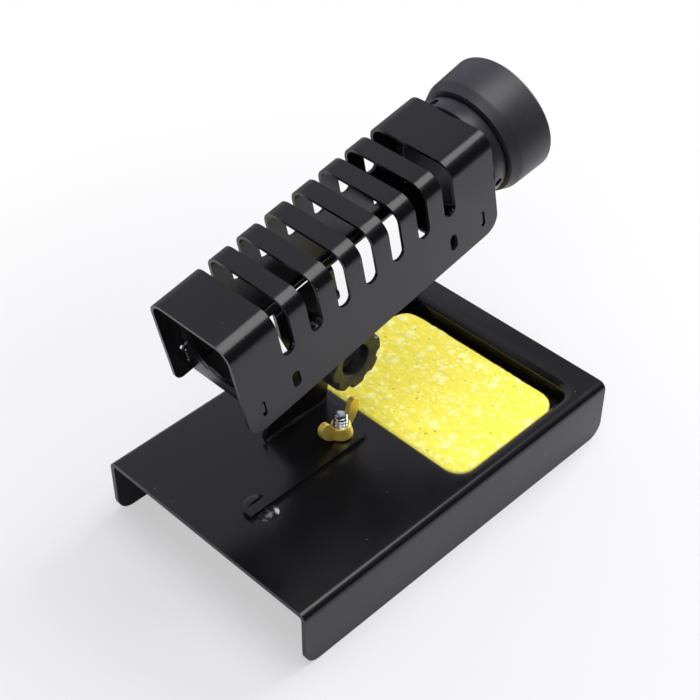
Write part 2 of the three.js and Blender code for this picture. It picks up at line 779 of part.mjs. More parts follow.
// Ring plate of either end; inward is +1 for the near one, whose flange runs to +X.
function ringPlate(inward) {
  const x = cageLength / 2 - inward * ringHalfPitch;
  const half = cageSheet / 2;
  const low = cageSheet + seatGap;
  const yf = cageFrontY + cageSheet + seatGap;
  const yb = cageBackY - cageSheet - seatGap;
  const high = cageInnerTop - seatGap;
  const r = cageBendRadius - cageSheet;
  const outline = new THREE.Shape();
  outline.moveTo(yf, low);
  outline.lineTo(yb, low);
  outline.absarc(yb - r, high - r, r, 0, Math.PI / 2, false);
  outline.absarc(yf + r, high - r, r, Math.PI / 2, Math.PI, false);
  outline.closePath();
  const outer = ringBendRadius;
  const inner = outer - cageSheet;
  const end = half + ringFlange;
  const folded = new THREE.Shape();
  folded.moveTo(-half, high);
  folded.absarc(-half + outer, low + outer, outer, Math.PI, 1.5 * Math.PI, false);
  folded.lineTo(end, low);
  folded.lineTo(end, low + cageSheet);
  folded.absarc(-half + outer, low + outer, inner, 1.5 * Math.PI, Math.PI, true);
  folded.lineTo(half, high);
  folded.closePath();
  const sheet = alongY(folded, yf, yb, 4).rotate([0, 0, inward > 0 ? 0 : 180])
    .translate([0, inward > 0 ? 0 : 2 * cageCentreY, 0]);
  const tabs = rectangle(
    cageFrontY, ringTabCentre - ringTabHeight / 2, cageBackY, ringTabCentre + ringTabHeight / 2,
  );
  let plate = sheet.intersect(alongX(outline, -end - 1, end + 1, 5)).add(alongX(tabs, -half, half));
  const opening = cylinder(ringHoleRadius, -half - 1, half + 1, 48, 'x', 0, cageCentreY, funnelAxisHeight);
  plate = plate.subtract(opening);
  for (let k = 0; k < ringNotches; k += 1) {
    const middle = (k + 0.5) * 360 / ringNotches + ringNotchTurn;
    const notch = new THREE.Shape();
    const from = rad(middle - ringNotchAngle / 2);
    const to = rad(middle + ringNotchAngle / 2);
    const inside = ringHoleRadius - 1;
    notch.absarc(cageCentreY, funnelAxisHeight, ringNotchRadius, from, to, false);
    notch.lineTo(cageCentreY + inside * Math.cos(to), funnelAxisHeight + inside * Math.sin(to));
    notch.lineTo(cageCentreY + inside * Math.cos(from), funnelAxisHeight + inside * Math.sin(from));
    notch.closePath();
    plate = plate.subtract(alongX(notch, -half - 1, half + 1, 5));
  }
  return plate.translate([x, 0, 0]);
}

function pivotLug() {
  const left = pivotAlong - lugWidth / 2;
  const right = pivotAlong + lugWidth / 2;
  const flangeTop = -seatGap;
  const tabTop = cageSheet + 0.2;
  const tabLeft = pivotAlong - lugTabWidth / 2;
  const tabRight = pivotAlong + lugTabWidth / 2;
  const inner = lugBendRadius;
  const outer = inner + lugSheet;
  const flangeBack = cageBackY - 0.4;
  // flanges turned out under the lip
  const out = new THREE.Shape();
  const low = -pivotBelow - lugEndRadius - 2;
  out.moveTo(lugFront, low);
  out.lineTo(lugBack, low);
  out.absarc(lugBack + inner, flangeTop - outer, inner, Math.PI, Math.PI / 2, true);
  out.lineTo(flangeBack, flangeTop - lugSheet);
  out.lineTo(flangeBack, flangeTop);
  out.absarc(lugBack + inner, flangeTop - outer, outer, Math.PI / 2, Math.PI, false);
  out.closePath();
  const outline = taperedTo(left, right, -lugShoulder, 1, pivotAlong, -pivotBelow, lugEndRadius);
  const face = alongY(outline, lugFront - 1, flangeBack + 1, 12);
  const slitFrom = tabLeft - lugSlit;
  const slitTo = tabRight + lugSlit;
  const gap = rectangle(slitFrom, flangeTop - outer - 1, slitTo, 5);
  let lug = alongX(out, left - 1, right + 1, 4).intersect(face)
    .subtract(alongY(gap, lugFront - 1, flangeBack + 1));
  // tab turned in, above the front of the lug
  const turnedIn = new THREE.Shape();
  turnedIn.moveTo(lugBack, flangeTop - outer - 1.5);
  turnedIn.absarc(lugFront - inner, tabTop - outer, outer, 0, Math.PI / 2, false);
  turnedIn.lineTo(lugFront - lugTabLength, tabTop);
  turnedIn.lineTo(lugFront - lugTabLength, tabTop - lugSheet);
  turnedIn.absarc(lugFront - inner, tabTop - outer, inner, Math.PI / 2, 0, true);
  turnedIn.lineTo(lugFront, flangeTop - outer - 1.5);
  turnedIn.closePath();
  const corner = 2;
  const plan = new THREE.Shape();
  plan.moveTo(tabRight, lugBack + 1);
  plan.lineTo(tabLeft, lugBack + 1);
  plan.absarc(tabLeft + corner, lugFront - lugTabLength + corner, corner, Math.PI, 1.5 * Math.PI, false);
  plan.absarc(tabRight - corner, lugFront - lugTabLength + corner, corner, 1.5 * Math.PI, 2 * Math.PI, false);
  plan.closePath();
  const tab = alongX(turnedIn, tabLeft, tabRight, 4).intersect(alongZ(plan, -30, 10, 4));
  lug = lug.add(tab);
  const hole = cylinder(pivotHole / 2, lugFront - 5, lugBack + 5, 24, 'y', pivotAlong, 0, -pivotBelow);
  return lug.subtract(hole);
}

const ringOuterFace = cageLength / 2 + ringHalfPitch + cageSheet / 2;
const ringInnerFace = ringOuterFace - cageSheet;
const insideCage = cageInnerTop - funnelAxisHeight - seatGap; // largest radius that fits in it
const neckFront = cageLength + seatGap;
const neckBack = neckFront + neckLength;
const socketEnd = neckBack + grooveWidth + bellSocketDepth;

function funnelNeck() {
  const bore = funnelBore / 2;
  const spigot = ringHoleRadius - seatGap;
  const lugsFrom = ringInnerFace - seatGap - bayonetThickness;
  const at = [0, cageCentreY, funnelAxisHeight];
  let neck = turned([
    [bore, lugsFrom], [spigot, lugsFrom], [spigot, ringOuterFace + seatGap],
    [insideCage, ringOuterFace + seatGap], [insideCage, neckFront],
    [neckDiameter / 2, neckFront], [neckDiameter / 2, neckBack - 0.4],
    [neckDiameter / 2 - 0.4, neckBack], [grooveDiameter / 2, neckBack],
    [grooveDiameter / 2, socketEnd - seatGap], [bore, socketEnd - seatGap],
  ], 48, 'x', ...at);
  for (let k = 0; k < ringNotches; k += 1) {
    const middle = k * 360 / ringNotches;
    const lug = new THREE.Shape();
    const from = rad(middle - bayonetAngle / 2);
    const to = rad(middle + bayonetAngle / 2);
    const [, cy, cz] = at;
    lug.absarc(cy, cz, insideCage, from, to, false);
    lug.lineTo(cy + (spigot - 0.8) * Math.cos(to), cz + (spigot - 0.8) * Math.sin(to));
    lug.lineTo(cy + (spigot - 0.8) * Math.cos(from), cz + (spigot - 0.8) * Math.sin(from));
    lug.closePath();
    neck = neck.add(alongX(lug, lugsFrom, lugsFrom + bayonetThickness, 4));
  }
  for (let k = 0; k < neckHoles; k += 1) {
    const angle = neckHoleStart + k * neckHoleStep;
    const x = neckFront + neckHoleEdge + neckHoleDiameter / 2;
    const drill = cylinder(neckHoleDiameter / 2, bore - 2, neckDiameter / 2 + 2, 16, 'y', 0, 0, 0)
      .rotate([angle, 0, 0]).translate([x, cageCentreY, funnelAxisHeight]);
    neck = neck.subtract(drill);
  }
  return neck;
}

function funnelBell() {
  const start = neckBack + grooveWidth;
  const end = start + bellLength;
  const socket = grooveDiameter / 2 + seatGap;
  const e = bellEdgeRadius;
  const rim = bellRimDiameter / 2;
  return turned([
    [socket, start], [bellBackDiameter / 2, start], [bellBackDiameter / 2 + 0.9, start + 0.9],
    [bellShoulderDiameter / 2, start + 3], [rim, end - e], [rim - 0.3 * e, end - 0.3 * e],
    [rim - e, end], [bellMouthDiameter / 2 + 0.2, end], [bellMouthDiameter / 2 - 0.1, end - 0.8],
    [bellMouthDiameter / 2 - 1.6, end - 5], [bellMouthDiameter / 2 - 4.2, end - 9.4],
    [funnelBore / 2 + 0.6, socketEnd + 0.6], [funnelBore / 2, socketEnd],
    [socket, socketEnd],
  ], 48, 'x', 0, cageCentreY, funnelAxisHeight);
}

// ---------------------------------------------------------------- assembly

const group = new THREE.Group();

function addTo(parent, name, manifold, finish) {
  const mesh = new THREE.Mesh(geometryOf(manifold), new THREE.MeshStandardMaterial(finish));
  mesh.name = name;
  parent.add(mesh);
}

addTo(group, 'base_plate', basePlate(), paint);
addTo(group, 'cleaning_sponge', cleaningSponge(), cellulose);
addTo(group, 'support_bracket', supportBracket(), paint);
addTo(group, 'clamp_screw', clampScrew(), zinc);
addTo(group, 'clamp_washer', clampWasher(), zinc);
addTo(group, 'wing_nut', wingNut(), brass);
addTo(group, 'pivot_bolt', pivotBolt(), zinc);
addTo(group, 'bolt_washer', pivotRing(pivotWasherDiameter, boltWasherFront, pivotWasherThickness), zinc);
addTo(group, 'knob_washer', pivotRing(pivotWasherDiameter, knobWasherFront, pivotWasherThickness), zinc);
addTo(group, 'knob_spring_washer', knobSpringWasher(), zinc);
addTo(group, 'tilt_knob', tiltKnob(), phenolic);
addTo(group, 'knob_insert', knobInsert(), brass);

const holder = new THREE.Group();
holder.position.set(pivotX, 0, pivotZ);
holder.rotation.y = -rad(holderTilt);
const cageFrame = new THREE.Group();
cageFrame.position.set(-pivotAlong, 0, pivotBelow);
holder.add(cageFrame);
group.add(holder);

addTo(cageFrame, 'holder_cage', holderCage(), paint);
addTo(cageFrame, 'front_ring', ringPlate(1), paint);
addTo(cageFrame, 'rear_ring', ringPlate(-1), paint);
addTo(cageFrame, 'pivot_lug', pivotLug(), paint);
addTo(cageFrame, 'funnel_neck', funnelNeck(), funnelPlastic);
addTo(cageFrame, 'funnel_bell', funnelBell(), funnelPlastic);

export default group;
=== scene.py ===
"""Looks of a soldering iron stand: folded and painted sheet steel, a slotted holder that tilts on
a knob, a plastic funnel, a wing nut on its screw and a sponge in a drawn tray.

Shapes are drawn in millimetres in the row frame: the origin is on the bench under the middle of
the base, +X runs towards the sponge and the funnel, +Y towards the tilt bolt's head and +Z up.
"""

from __future__ import annotations

import logging
import math
from collections.abc import Callable, Sequence
from dataclasses import dataclass, field
from enum import Enum
from functools import cache

import bmesh
import bpy
from mathutils import Matrix, Vector
from mathutils.geometry import tessellate_polygon

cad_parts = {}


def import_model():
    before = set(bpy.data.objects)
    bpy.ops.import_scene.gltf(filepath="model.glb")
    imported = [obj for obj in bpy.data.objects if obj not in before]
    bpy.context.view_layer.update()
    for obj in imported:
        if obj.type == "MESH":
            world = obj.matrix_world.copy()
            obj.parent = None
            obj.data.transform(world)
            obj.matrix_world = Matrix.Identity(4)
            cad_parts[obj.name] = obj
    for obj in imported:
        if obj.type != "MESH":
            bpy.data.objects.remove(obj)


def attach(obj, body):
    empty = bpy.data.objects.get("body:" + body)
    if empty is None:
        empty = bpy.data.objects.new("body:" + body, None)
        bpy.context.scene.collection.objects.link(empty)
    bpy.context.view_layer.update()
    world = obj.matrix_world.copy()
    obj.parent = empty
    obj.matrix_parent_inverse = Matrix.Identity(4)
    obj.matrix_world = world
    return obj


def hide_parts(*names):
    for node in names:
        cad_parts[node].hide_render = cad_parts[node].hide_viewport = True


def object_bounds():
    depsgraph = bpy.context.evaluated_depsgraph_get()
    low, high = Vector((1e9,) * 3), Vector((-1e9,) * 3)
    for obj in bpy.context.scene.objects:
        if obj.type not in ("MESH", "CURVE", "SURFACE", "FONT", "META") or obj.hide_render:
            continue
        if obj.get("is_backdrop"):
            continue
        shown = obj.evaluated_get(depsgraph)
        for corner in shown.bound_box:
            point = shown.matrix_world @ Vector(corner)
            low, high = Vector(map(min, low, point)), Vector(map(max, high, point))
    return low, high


LOG = logging.getLogger("soldering_stand")
MM = 0.001

Point = tuple[float, float]
Place = tuple[float, float, float]
Piece = bpy.types.Object
Verts = list[bmesh.types.BMVert]


# ---- names shared with the frame


class Body(Enum):
    """Bodies of the stand that move against each other."""

    STAND = "stand"
    HOLDER = "holder"
    KNOB = "knob"
    NUT = "nut"
    SPONGE = "sponge"


class Slot(Enum):
    """Material slots."""

    PAINT = "black_paint"
    ZINC = "zinc_steel"
    BRASS = "yellow_brass"
    PLASTIC = "black_plastic"
    SPONGE = "sponge"


class Axis(Enum):
    """Axis of a turned piece, as the rows that turn +Z to it."""

    X = ((0, 0, 1), (1, 0, 0), (0, 1, 0))
    Y = ((0, 1, 0), (0, 0, 1), (1, 0, 0))


class HolderEnd(Enum):
    """End of the holder that a ring plate closes."""

    NEAR = 1
    FUNNEL = -1


# ---- node graphs


def sum_method(operation: str, reflected: bool = False) -> Callable[[Wire, object], Wire]:
    """Makes an operator of Wire that adds one Math node.

    Args:
        operation: the Math node's operation.
        reflected: whether the other value comes first.

    Returns:
        The method.
    """

    def method(self: Wire, other: object) -> Wire:
        """The result as a wire."""
        return self.graph.math(operation, *((other, self) if reflected else (self, other)))

    return method


class Wire:
    """An output socket that can be used in Python sums."""

    def __init__(self, graph: Graph, socket: bpy.types.NodeSocket) -> None:
        """Keeps the socket and the graph that it belongs to."""
        self.graph = graph
        self.socket = socket

    __add__, __radd__ = sum_method("ADD"), sum_method("ADD", reflected=True)
    __sub__, __rsub__ = sum_method("SUBTRACT"), sum_method("SUBTRACT", reflected=True)
    __mul__, __rmul__ = sum_method("MULTIPLY"), sum_method("MULTIPLY", reflected=True)
    __truediv__ = sum_method("DIVIDE")
    __lt__, __gt__ = sum_method("LESS_THAN"), sum_method("GREATER_THAN")

    def other(self, output: int | str) -> Wire:
        """Another output of the same node."""
        return Wire(self.graph, self.socket.node.outputs[output])


class Graph:
    """A shader or geometry node tree under construction."""

    def __init__(self, tree: bpy.types.NodeTree) -> None:
        """Keeps the tree."""
        self.tree = tree

    def node(
        self,
        kind: str,
        settings: dict[str, object] | None = None,
        inputs: dict[int | str, object] | None = None,
        output: int | str = 0,
    ) -> Wire:
        """Adds a node.

        Args:
            kind: the node's type.
            settings: properties, set before the sockets.
            inputs: values or wires, by the socket's name or place.
            output: the wanted output socket.

        Returns:
            The wanted output.
        """
        made = self.tree.nodes.new(kind)
        for name, value in (settings or {}).items():
            setattr(made, name, value)
        for key, value in (inputs or {}).items():
            self.feed(made.inputs[key], value)
        return Wire(self, made.outputs[output] if len(made.outputs) else None)

    def feed(self, socket: bpy.types.NodeSocket, value: object) -> None:
        """Links a wire to an input, or writes a plain value in it.

        Args:
            socket: input socket.
            value: wire, number, vector, colour or data-block.
        """
        if isinstance(value, Wire):
            self.tree.links.new(value.socket, socket)
        else:
            socket.default_value = value

    def found(self, kind: str) -> bpy.types.Node:
        """The node of a kind that is there from the start."""
        return next(n for n in self.tree.nodes if n.type == kind)

    def math(self, operation: str, *values: object) -> Wire:
        """Adds a Math node."""
        return self.node("ShaderNodeMath", {"operation": operation}, dict(enumerate(values)))

    def vector_math(self, operation: str, *values: object) -> Wire:
        """Adds a Vector Math node."""
        made = self.node("ShaderNodeVectorMath", {"operation": operation}, dict(enumerate(values)))
        return made.other("Value") if operation == "LENGTH" else made

    def vector(self, x: object = 0.0, y: object = 0.0, z: object = 0.0) -> Wire:
        """A vector from three values or wires."""
        return self.node("ShaderNodeCombineXYZ", {}, {0: x, 1: y, 2: z})

    def parts(self, vector: Wire) -> tuple[Wire, ...]:
        """The three numbers of a vector."""
        split = self.node("ShaderNodeSeparateXYZ", {}, {0: vector})
        return tuple(split.other(i) for i in range(3))

    def blend(self, factor: object, first: object, second: object) -> Wire:
        """Mixes two colours: 0 gives the first, 1 the second."""
        inputs = {0: factor, 6: first, 7: second}
        return self.node("ShaderNodeMix", {"data_type": "RGBA"}, inputs, output=2)

    def ramp(self, value: object, low: float, high: float) -> Wire:
        """Rises smoothly from 0 to 1 as the value goes from low to high."""
        inputs = {"Value": value, "From Min": low, "From Max": high, "To Min": 0.0, "To Max": 1.0}
        return self.node("ShaderNodeMapRange", {"interpolation_type": "SMOOTHSTEP"}, inputs)

    def noise(self, vector: Wire, size_mm: float, detail: float, output: int | str = 0) -> Wire:
        """Smooth noise from 0 to 1, with features of about a size."""
        inputs = {"Vector": vector, "Scale": 1 / (size_mm * MM), "Detail": detail}
        return self.node("ShaderNodeTexNoise", {}, inputs, output)

    def cells(self, vector: Wire, size_mm: float) -> tuple[Wire, Wire]:
        """Scattered cells of about a size.

        Args:
            vector: place.
            size_mm: distance from cell to cell.

        Returns:
            Distance to the middle of the nearest cell, in cells, and that cell's own number.
        """
        made = self.node("ShaderNodeTexVoronoi", {}, {"Vector": vector, "Scale": 1 / (size_mm * MM)})
        kind = "ShaderNode" if self.tree.type == "SHADER" else "FunctionNode"
        return made, self.node(f"{kind}SeparateColor", {}, {0: made.other("Color")})


# ---- finishes


class Surface(Graph):
    """A material under construction, on Object coordinates."""

    def __init__(self, name: str) -> None:
        """Starts a material.

        Args:
            name: the material's name.
        """
        self.material = bpy.data.materials.new(name)
        self.material.use_nodes = True
        super().__init__(self.material.node_tree)
        self.shader = self.found("BSDF_PRINCIPLED")
        self.place = self.node("ShaderNodeTexCoord", output="Object")

    def dress(self, colour: object, roughness: object, height: Wire, depth_mm: float) -> None:
        """Feeds the shader.

        Args:
            colour: base colour.
            roughness: how dull it is.
            height: relief of the surface, from 0 to 1.
            depth_mm: depth of that relief.
        """
        inputs = {"Height": height, "Distance": depth_mm * MM, "Strength": 1.0}
        bump = self.node("ShaderNodeBump", {}, inputs)
        for name, value in {"Base Color": colour, "Roughness": roughness, "Normal": bump}.items():
            self.feed(self.shader.inputs[name], value)


@dataclass(frozen=True)
class HardFinish:
    """A smooth hard surface with fine grain and a little dust."""

    name: str
    slot: Slot
    colour: Place
    roughness: float
    metallic: float = 0.0
    roughness_swing: float = 0.05
    grain_mm: float = 0.5
    grain_depth_mm: float = 0.004
    cloud: float = 0.0
    cloud_mm: float = 14.0
    cloud_span: Point = (0.35, 0.7)
    dust: float = 0.0
    dust_mm: float = 5.5
    dust_size: float = 0.06
    dust_size_mm: float = 3.0
    dust_share: float = 0.45
    dust_colour: Place = (0.3, 0.3, 0.33)
    dust_roughness: float = 0.3

    @cache
    def material(self) -> bpy.types.Material:
        """Builds the material, once.

        Returns:
            A material on Object coordinates.
        """
        surface = Surface(self.name)
        grain = surface.noise(surface.place, self.grain_mm, 3.0)
        broad = surface.noise(surface.place, self.cloud_mm, 2.0)
        colour: object = (*self.colour, 1)
        if self.cloud:
            lighter = tuple(min(1.0, c * (1 + self.cloud)) for c in self.colour)
            colour = surface.blend(surface.ramp(broad, *self.cloud_span), colour, (*lighter, 1))
        roughness = self.roughness + (broad - 0.5) * (2 * self.roughness_swing)
        if self.dust:
            distance, number = surface.cells(surface.place, self.dust_mm)
            size = surface.noise(surface.place, self.dust_size_mm, 1.0) * (self.dust_size * self.dust)
            speck = (distance < size) * (number > self.dust_share)
            colour = surface.blend(speck, colour, (*self.dust_colour, 1))
            roughness = roughness + speck * self.dust_roughness
        surface.shader.inputs["Metallic"].default_value = self.metallic
        surface.dress(colour, roughness, grain, self.grain_depth_mm)
        return surface.material


@dataclass(frozen=True)
class SpongeFinish:
    """Dry cellulose sponge: yellow, with pale closed cells and small open pits that are painted darker as
    their shade.
    """

    name: str
    slot: Slot
    colour: Place
    pale: Place
    # deep: darker colour painted into the open pits as their shade
    deep: Place
    warmth: Place = (0.97, 0.93, 0.8)
    tone_mm: float = 2.4
    tone_span: Point = (0.3, 0.7)
    roughness: float = 0.95
    grain_mm: float = 0.35
    grain_depth_mm: float = 0.12

    @cache
    def material(self) -> bpy.types.Material:
        """Builds the material, once.

        Returns:
            A material on Object coordinates, in step with the sponge's pitted shape.
        """
        surface = Surface(self.name)
        pale, pit = sponge_cells(surface, surface.place)
        tone = surface.ramp(surface.noise(surface.place, self.tone_mm, 3.0), *self.tone_span)
        warmer = tuple(c * f for c, f in zip(self.colour, self.warmth, strict=True))
        colour = surface.blend(tone, (*warmer, 1), (*self.colour, 1))
        colour = surface.blend(pale, colour, (*self.pale, 1))
        # painted shade: the open pits take the darker, deeper yellow, standing in for the shade inside them
        colour = surface.blend(pit, colour, (*self.deep, 1))
        grain = surface.noise(surface.place, self.grain_mm, 3.0) - pit
        surface.dress(colour, self.roughness, grain, self.grain_depth_mm)
        return surface.material


@dataclass(frozen=True)
class BenchFinish:
    """A white bench top that fades to plain white away from the stand."""

    name: str
    roughness: float = 0.6
    glow: float = 0.48
    near: Place = (0.67, 0.67, 0.7)
    far: Place = (0.12, 0.12, 0.13)
    glow_span: Point = (0.1, 0.26)
    fade_span: Point = (0.2, 0.5)

    @cache
    def material(self) -> bpy.types.Material:
        """Builds the material, once.

        Returns:
            A material that keeps the stand's soft shadow.
        """
        surface = Surface(self.name)
        surface.shader.inputs["Roughness"].default_value = self.roughness
        away = surface.vector_math("LENGTH", surface.place)
        share = surface.ramp(away, *self.glow_span) * (1 - self.glow) + self.glow
        fade = surface.ramp(away, *self.fade_span)
        colour = surface.blend(fade, (*self.near, 1), (*self.far, 1))
        surface.feed(surface.shader.inputs["Base Color"], colour)
        seen = surface.node("ShaderNodeLightPath", output="Is Camera Ray")
        glow = surface.node("ShaderNodeEmission", {}, {"Color": (1, 1, 1, 1), "Strength": 1.0})
        lit = Wire(surface, surface.shader.outputs[0])
        mixed = surface.node("ShaderNodeMixShader", {}, {0: seen * share, 1: lit, 2: glow})
        surface.feed(surface.found("OUTPUT_MATERIAL").inputs["Surface"], mixed)
        return surface.material


@dataclass(frozen=True)
class Bubbles:
    """Round cells scattered through a sponge, sizes and edges in parts of a cell."""

    size_mm: float
    share: float
    inner_edge: float
    outer_edge: float

    def mask(self, graph: Graph, place: Wire) -> tuple[Wire, Wire]:
        """1 inside the cells and 0 outside, and each cell's own number."""
        distance, number = graph.cells(place, self.size_mm)
        return 1 - graph.ramp(distance - number * self.share, self.inner_edge, self.outer_edge), number


BIG_CELLS = Bubbles(3.9, 0.56, -0.16, 0.04)
SMALL_CELLS = Bubbles(1.9, 0.6, -0.2, 0.05)
PITS = Bubbles(2.7, 0.16, -0.02, 0.06)
SMALL_STRENGTH = 0.85
PITLESS_SHARE = 0.8
WOBBLE_MM = 1.3
WOBBLE_SPACING_MM = 1.6
STRETCH = (0.8, 1.0, 1.0)


def sponge_cells(graph: Graph, place: Wire) -> tuple[Wire, Wire]:
    """Where a sponge has closed cells and open pits.

    Args:
        graph: shader or geometry graph.
        place: place in metres.

    Returns:
        Masks of the pale closed cells and of the pits, from 0 to 1.
    """
    wobble = graph.noise(place, WOBBLE_SPACING_MM, 2.0, "Color")
    bent = graph.vector_math("MULTIPLY_ADD", wobble, (WOBBLE_MM * MM,) * 3, place)
    big, _ = BIG_CELLS.mask(graph, graph.vector_math("MULTIPLY", bent, STRETCH))
    small, _ = SMALL_CELLS.mask(graph, bent)
    pit, number = PITS.mask(graph, bent)
    pale = graph.math("MAXIMUM", big, small * SMALL_STRENGTH)
    return pale, pit * (number > PITLESS_SHARE) * (1 - big)


PAINT = HardFinish(
    "satin black powder coat", Slot.PAINT, (0.0042, 0.0042, 0.0048), 0.21, grain_mm=0.6,
    grain_depth_mm=0.0035, dust=1.0,
)
ZINC = HardFinish(
    "bright zinc plate", Slot.ZINC, (0.78, 0.83, 0.9), 0.2, metallic=1.0, grain_mm=0.3,
    grain_depth_mm=0.003,
)
BRASS = HardFinish(
    "dull cast brass", Slot.BRASS, (0.84, 0.62, 0.11), 0.34, metallic=0.6, cloud=0.25, grain_mm=0.4,
    grain_depth_mm=0.012,
)
BELL_PLASTIC = HardFinish(
    "moulded black plastic", Slot.PLASTIC, (0.024, 0.024, 0.03), 0.42, roughness_swing=0.03,
    grain_mm=0.35, dust=0.6,
)
NECK_PLASTIC = HardFinish(
    "polished black plastic", Slot.PLASTIC, (0.019, 0.019, 0.025), 0.34, roughness_swing=0.03,
    grain_depth_mm=0.002,
)
KNOB_PLASTIC = HardFinish(
    "black phenolic", Slot.PLASTIC, (0.012, 0.0115, 0.0095), 0.42, grain_mm=0.45, grain_depth_mm=0.006,
)
# the third colour is the painted shade of the sponge's open pits
SPONGE = SpongeFinish(
    "yellow cellulose sponge", Slot.SPONGE, (0.97, 0.87, 0.1), (0.98, 0.94, 0.33), (0.86, 0.7, 0.03)
)
BENCH = BenchFinish("white bench")

Finish = HardFinish | SpongeFinish | BenchFinish


# ---- outlines


def arc(centre: Point, radius: float, start: float, stop: float, steps: int) -> list[Point]:
    """Points on an arc, both ends included.

    Args:
        centre: centre of the arc.
        radius: its radius.
        start: first angle in degrees.
        stop: last angle in degrees.
        steps: number of parts.

    Returns:
        The points.
    """
    angles = [math.radians(start + (stop - start) * i / steps) for i in range(steps + 1)]
    return [(centre[0] + radius * math.cos(a), centre[1] + radius * math.sin(a)) for a in angles]


def circle(centre: Point, radius: float, steps: int = 40) -> list[Point]:
    """Points round a circle."""
    return arc(centre, radius, 0, 360, steps)[:-1]


def rounded(corner: Point, radius: float, start: float, steps: int = 10) -> list[Point]:
    """Points that round a square corner of an outline.

    Args:
        corner: the sharp corner.
        radius: radius of the rounding.
        start: where the quarter turn starts, in degrees.
        steps: number of parts.

    Returns:
        The points.
    """
    middle = math.radians(start + 45)
    inward = math.copysign(radius, math.cos(middle)), math.copysign(radius, math.sin(middle))
    return arc((corner[0] - inward[0], corner[1] - inward[1]), radius, start, start + 90, steps)


def rounded_rectangle(centre: Point, size: Point, radius: float, steps: int = 8) -> list[Point]:
    """Points round a rectangle with round corners.

    Args:
        centre: its middle.
        size: its sides.
        radius: radius of its corners.
        steps: parts of each corner.

    Returns:
        The points.
    """
    hx, hy = size[0] / 2 - radius, size[1] / 2 - radius
    points: list[Point] = []
    for i, (x, y) in enumerate(((hx, hy), (-hx, hy), (-hx, -hy), (hx, -hy))):
        points += arc((centre[0] + x, centre[1] + y), radius, 90 * i, 90 * i + 90, steps)
    return points


def obround(centre: Point, width: float, height: float, steps: int = 8) -> list[Point]:
    """Points round a slot with round ends that stands on its short side."""
    x, y, half = *centre, height / 2 - width / 2
    return arc((x, y + half), width / 2, 0, 180, steps) + arc((x, y - half), width / 2, 180, 360, steps)


def tangent_angles(foot: Point, centre: Point, radius: float) -> tuple[float, float]:
    """Where lines from a point touch a circle.

    Args:
        foot: the point.
        centre: centre of the circle.
        radius: its radius.

    Returns:
        The two angles, in degrees.
    """
    across, up = foot[0] - centre[0], foot[1] - centre[1]
    spread = math.degrees(math.acos(radius / math.hypot(across, up)))
    middle = math.degrees(math.atan2(up, across))
    return middle - spread, middle + spread


# ---- meshes


class Draft:
    """A mesh in millimetres while it is being shaped."""

    def __init__(self) -> None:
        """Starts with nothing."""
        self.mesh = bmesh.new()

    def ring(self, points: Sequence[Sequence[float]]) -> Verts:
        """Adds a row of vertices."""
        return [self.mesh.verts.new(Vector(p)) for p in points]

    def bridge(self, first: Verts, second: Verts) -> None:
        """Joins two closed rows of the same length with four-sided faces."""
        for i in range(len(first)):
            j = (i + 1) % len(first)
            self.mesh.faces.new((first[i], first[j], second[j], second[i]))

    def cap(self, ring: Verts) -> None:
        """Closes a row with one face."""
        self.mesh.faces.new(ring)

    def loft(self, rings: Sequence[Sequence[Sequence[float]]], closed: bool = False) -> Draft:
        """Skins rows of points, with flat ends or joined round to the first row.

        Args:
            rings: rows of points, all of one length.
            closed: whether the last row joins the first.

        Returns:
            The draft.
        """
        rows = [self.ring(points) for points in rings]
        for first, second in zip(rows, rows[1:], strict=False):
            self.bridge(first, second)
        if closed:
            self.bridge(rows[-1], rows[0])
        else:
            self.cap(rows[0])
            self.cap(rows[-1])
        return self

    def shift(self, place: Matrix) -> Draft:
        """Moves the draft within its own frame, and gives it back."""
        for vert in self.mesh.verts:
            vert.co = place @ vert.co
        return self

    def object(
        self, name: str, finish: Finish, place: Matrix | None = None, round_mm: float = 0.0,
        smooth_angle: float = 40.0,
    ) -> Piece:
        """Turns the draft into a finished object, with its place in its mesh.

        Args:
            name: the object's name.
            finish: its finish.
            place: from the draft's own millimetres to the row frame's.
            round_mm: width by which sharp edges are rounded.
            smooth_angle: without rounding, edges below this are shaded smooth.

        Returns:
            The object.
        """
        bmesh.ops.recalc_face_normals(self.mesh, faces=self.mesh.faces)
        data = bpy.data.meshes.new(name)
        self.mesh.to_mesh(data)
        self.mesh.free()
        data.transform(Matrix.Scale(MM, 4) @ (place or Matrix.Identity(4)))
        data.materials.append(finish.material())
        data.shade_smooth()
        obj = bpy.data.objects.new(name, data)
        bpy.context.scene.collection.objects.link(obj)
        if round_mm:
            round_edges(obj, round_mm)
        else:
            data.set_sharp_from_angle(angle=math.radians(smooth_angle))
        return obj

    def piece(self, name: str, node: str, body: Body, finish: Finish, place: Matrix | None = None,
              **edges: float) -> None:
        """Turns the draft into a finished piece on its body.

        Args:
            name: the piece's name.
            node: plain solid that it stands for.
            body: what it moves with.
            finish: its finish.
            place: from the draft's own millimetres to the row frame's.
            edges: how its edges are finished, as for object().
        """
        mount(self.object(name, finish, place, **edges), body, node)


def settle(obj: Piece) -> None:
    """Replaces an object's mesh by what its modifiers make of it.

    Args:
        obj: object to change.
    """
    graph = bpy.context.evaluated_depsgraph_get()
    data = bpy.data.meshes.new_from_object(
        obj.evaluated_get(graph), preserve_all_data_layers=True, depsgraph=graph
    )
    obj.modifiers.clear()
    obj.data = data


def modify(obj: Piece, name: str, kind: str, **settings: object) -> None:
    """Gives an object a modifier.

    Args:
        obj: object to change.
        name: the modifier's name.
        kind: its type.
        settings: its properties.
    """
    modifier = obj.modifiers.new(name, kind)
    for key, value in settings.items():
        setattr(modifier, key, value)


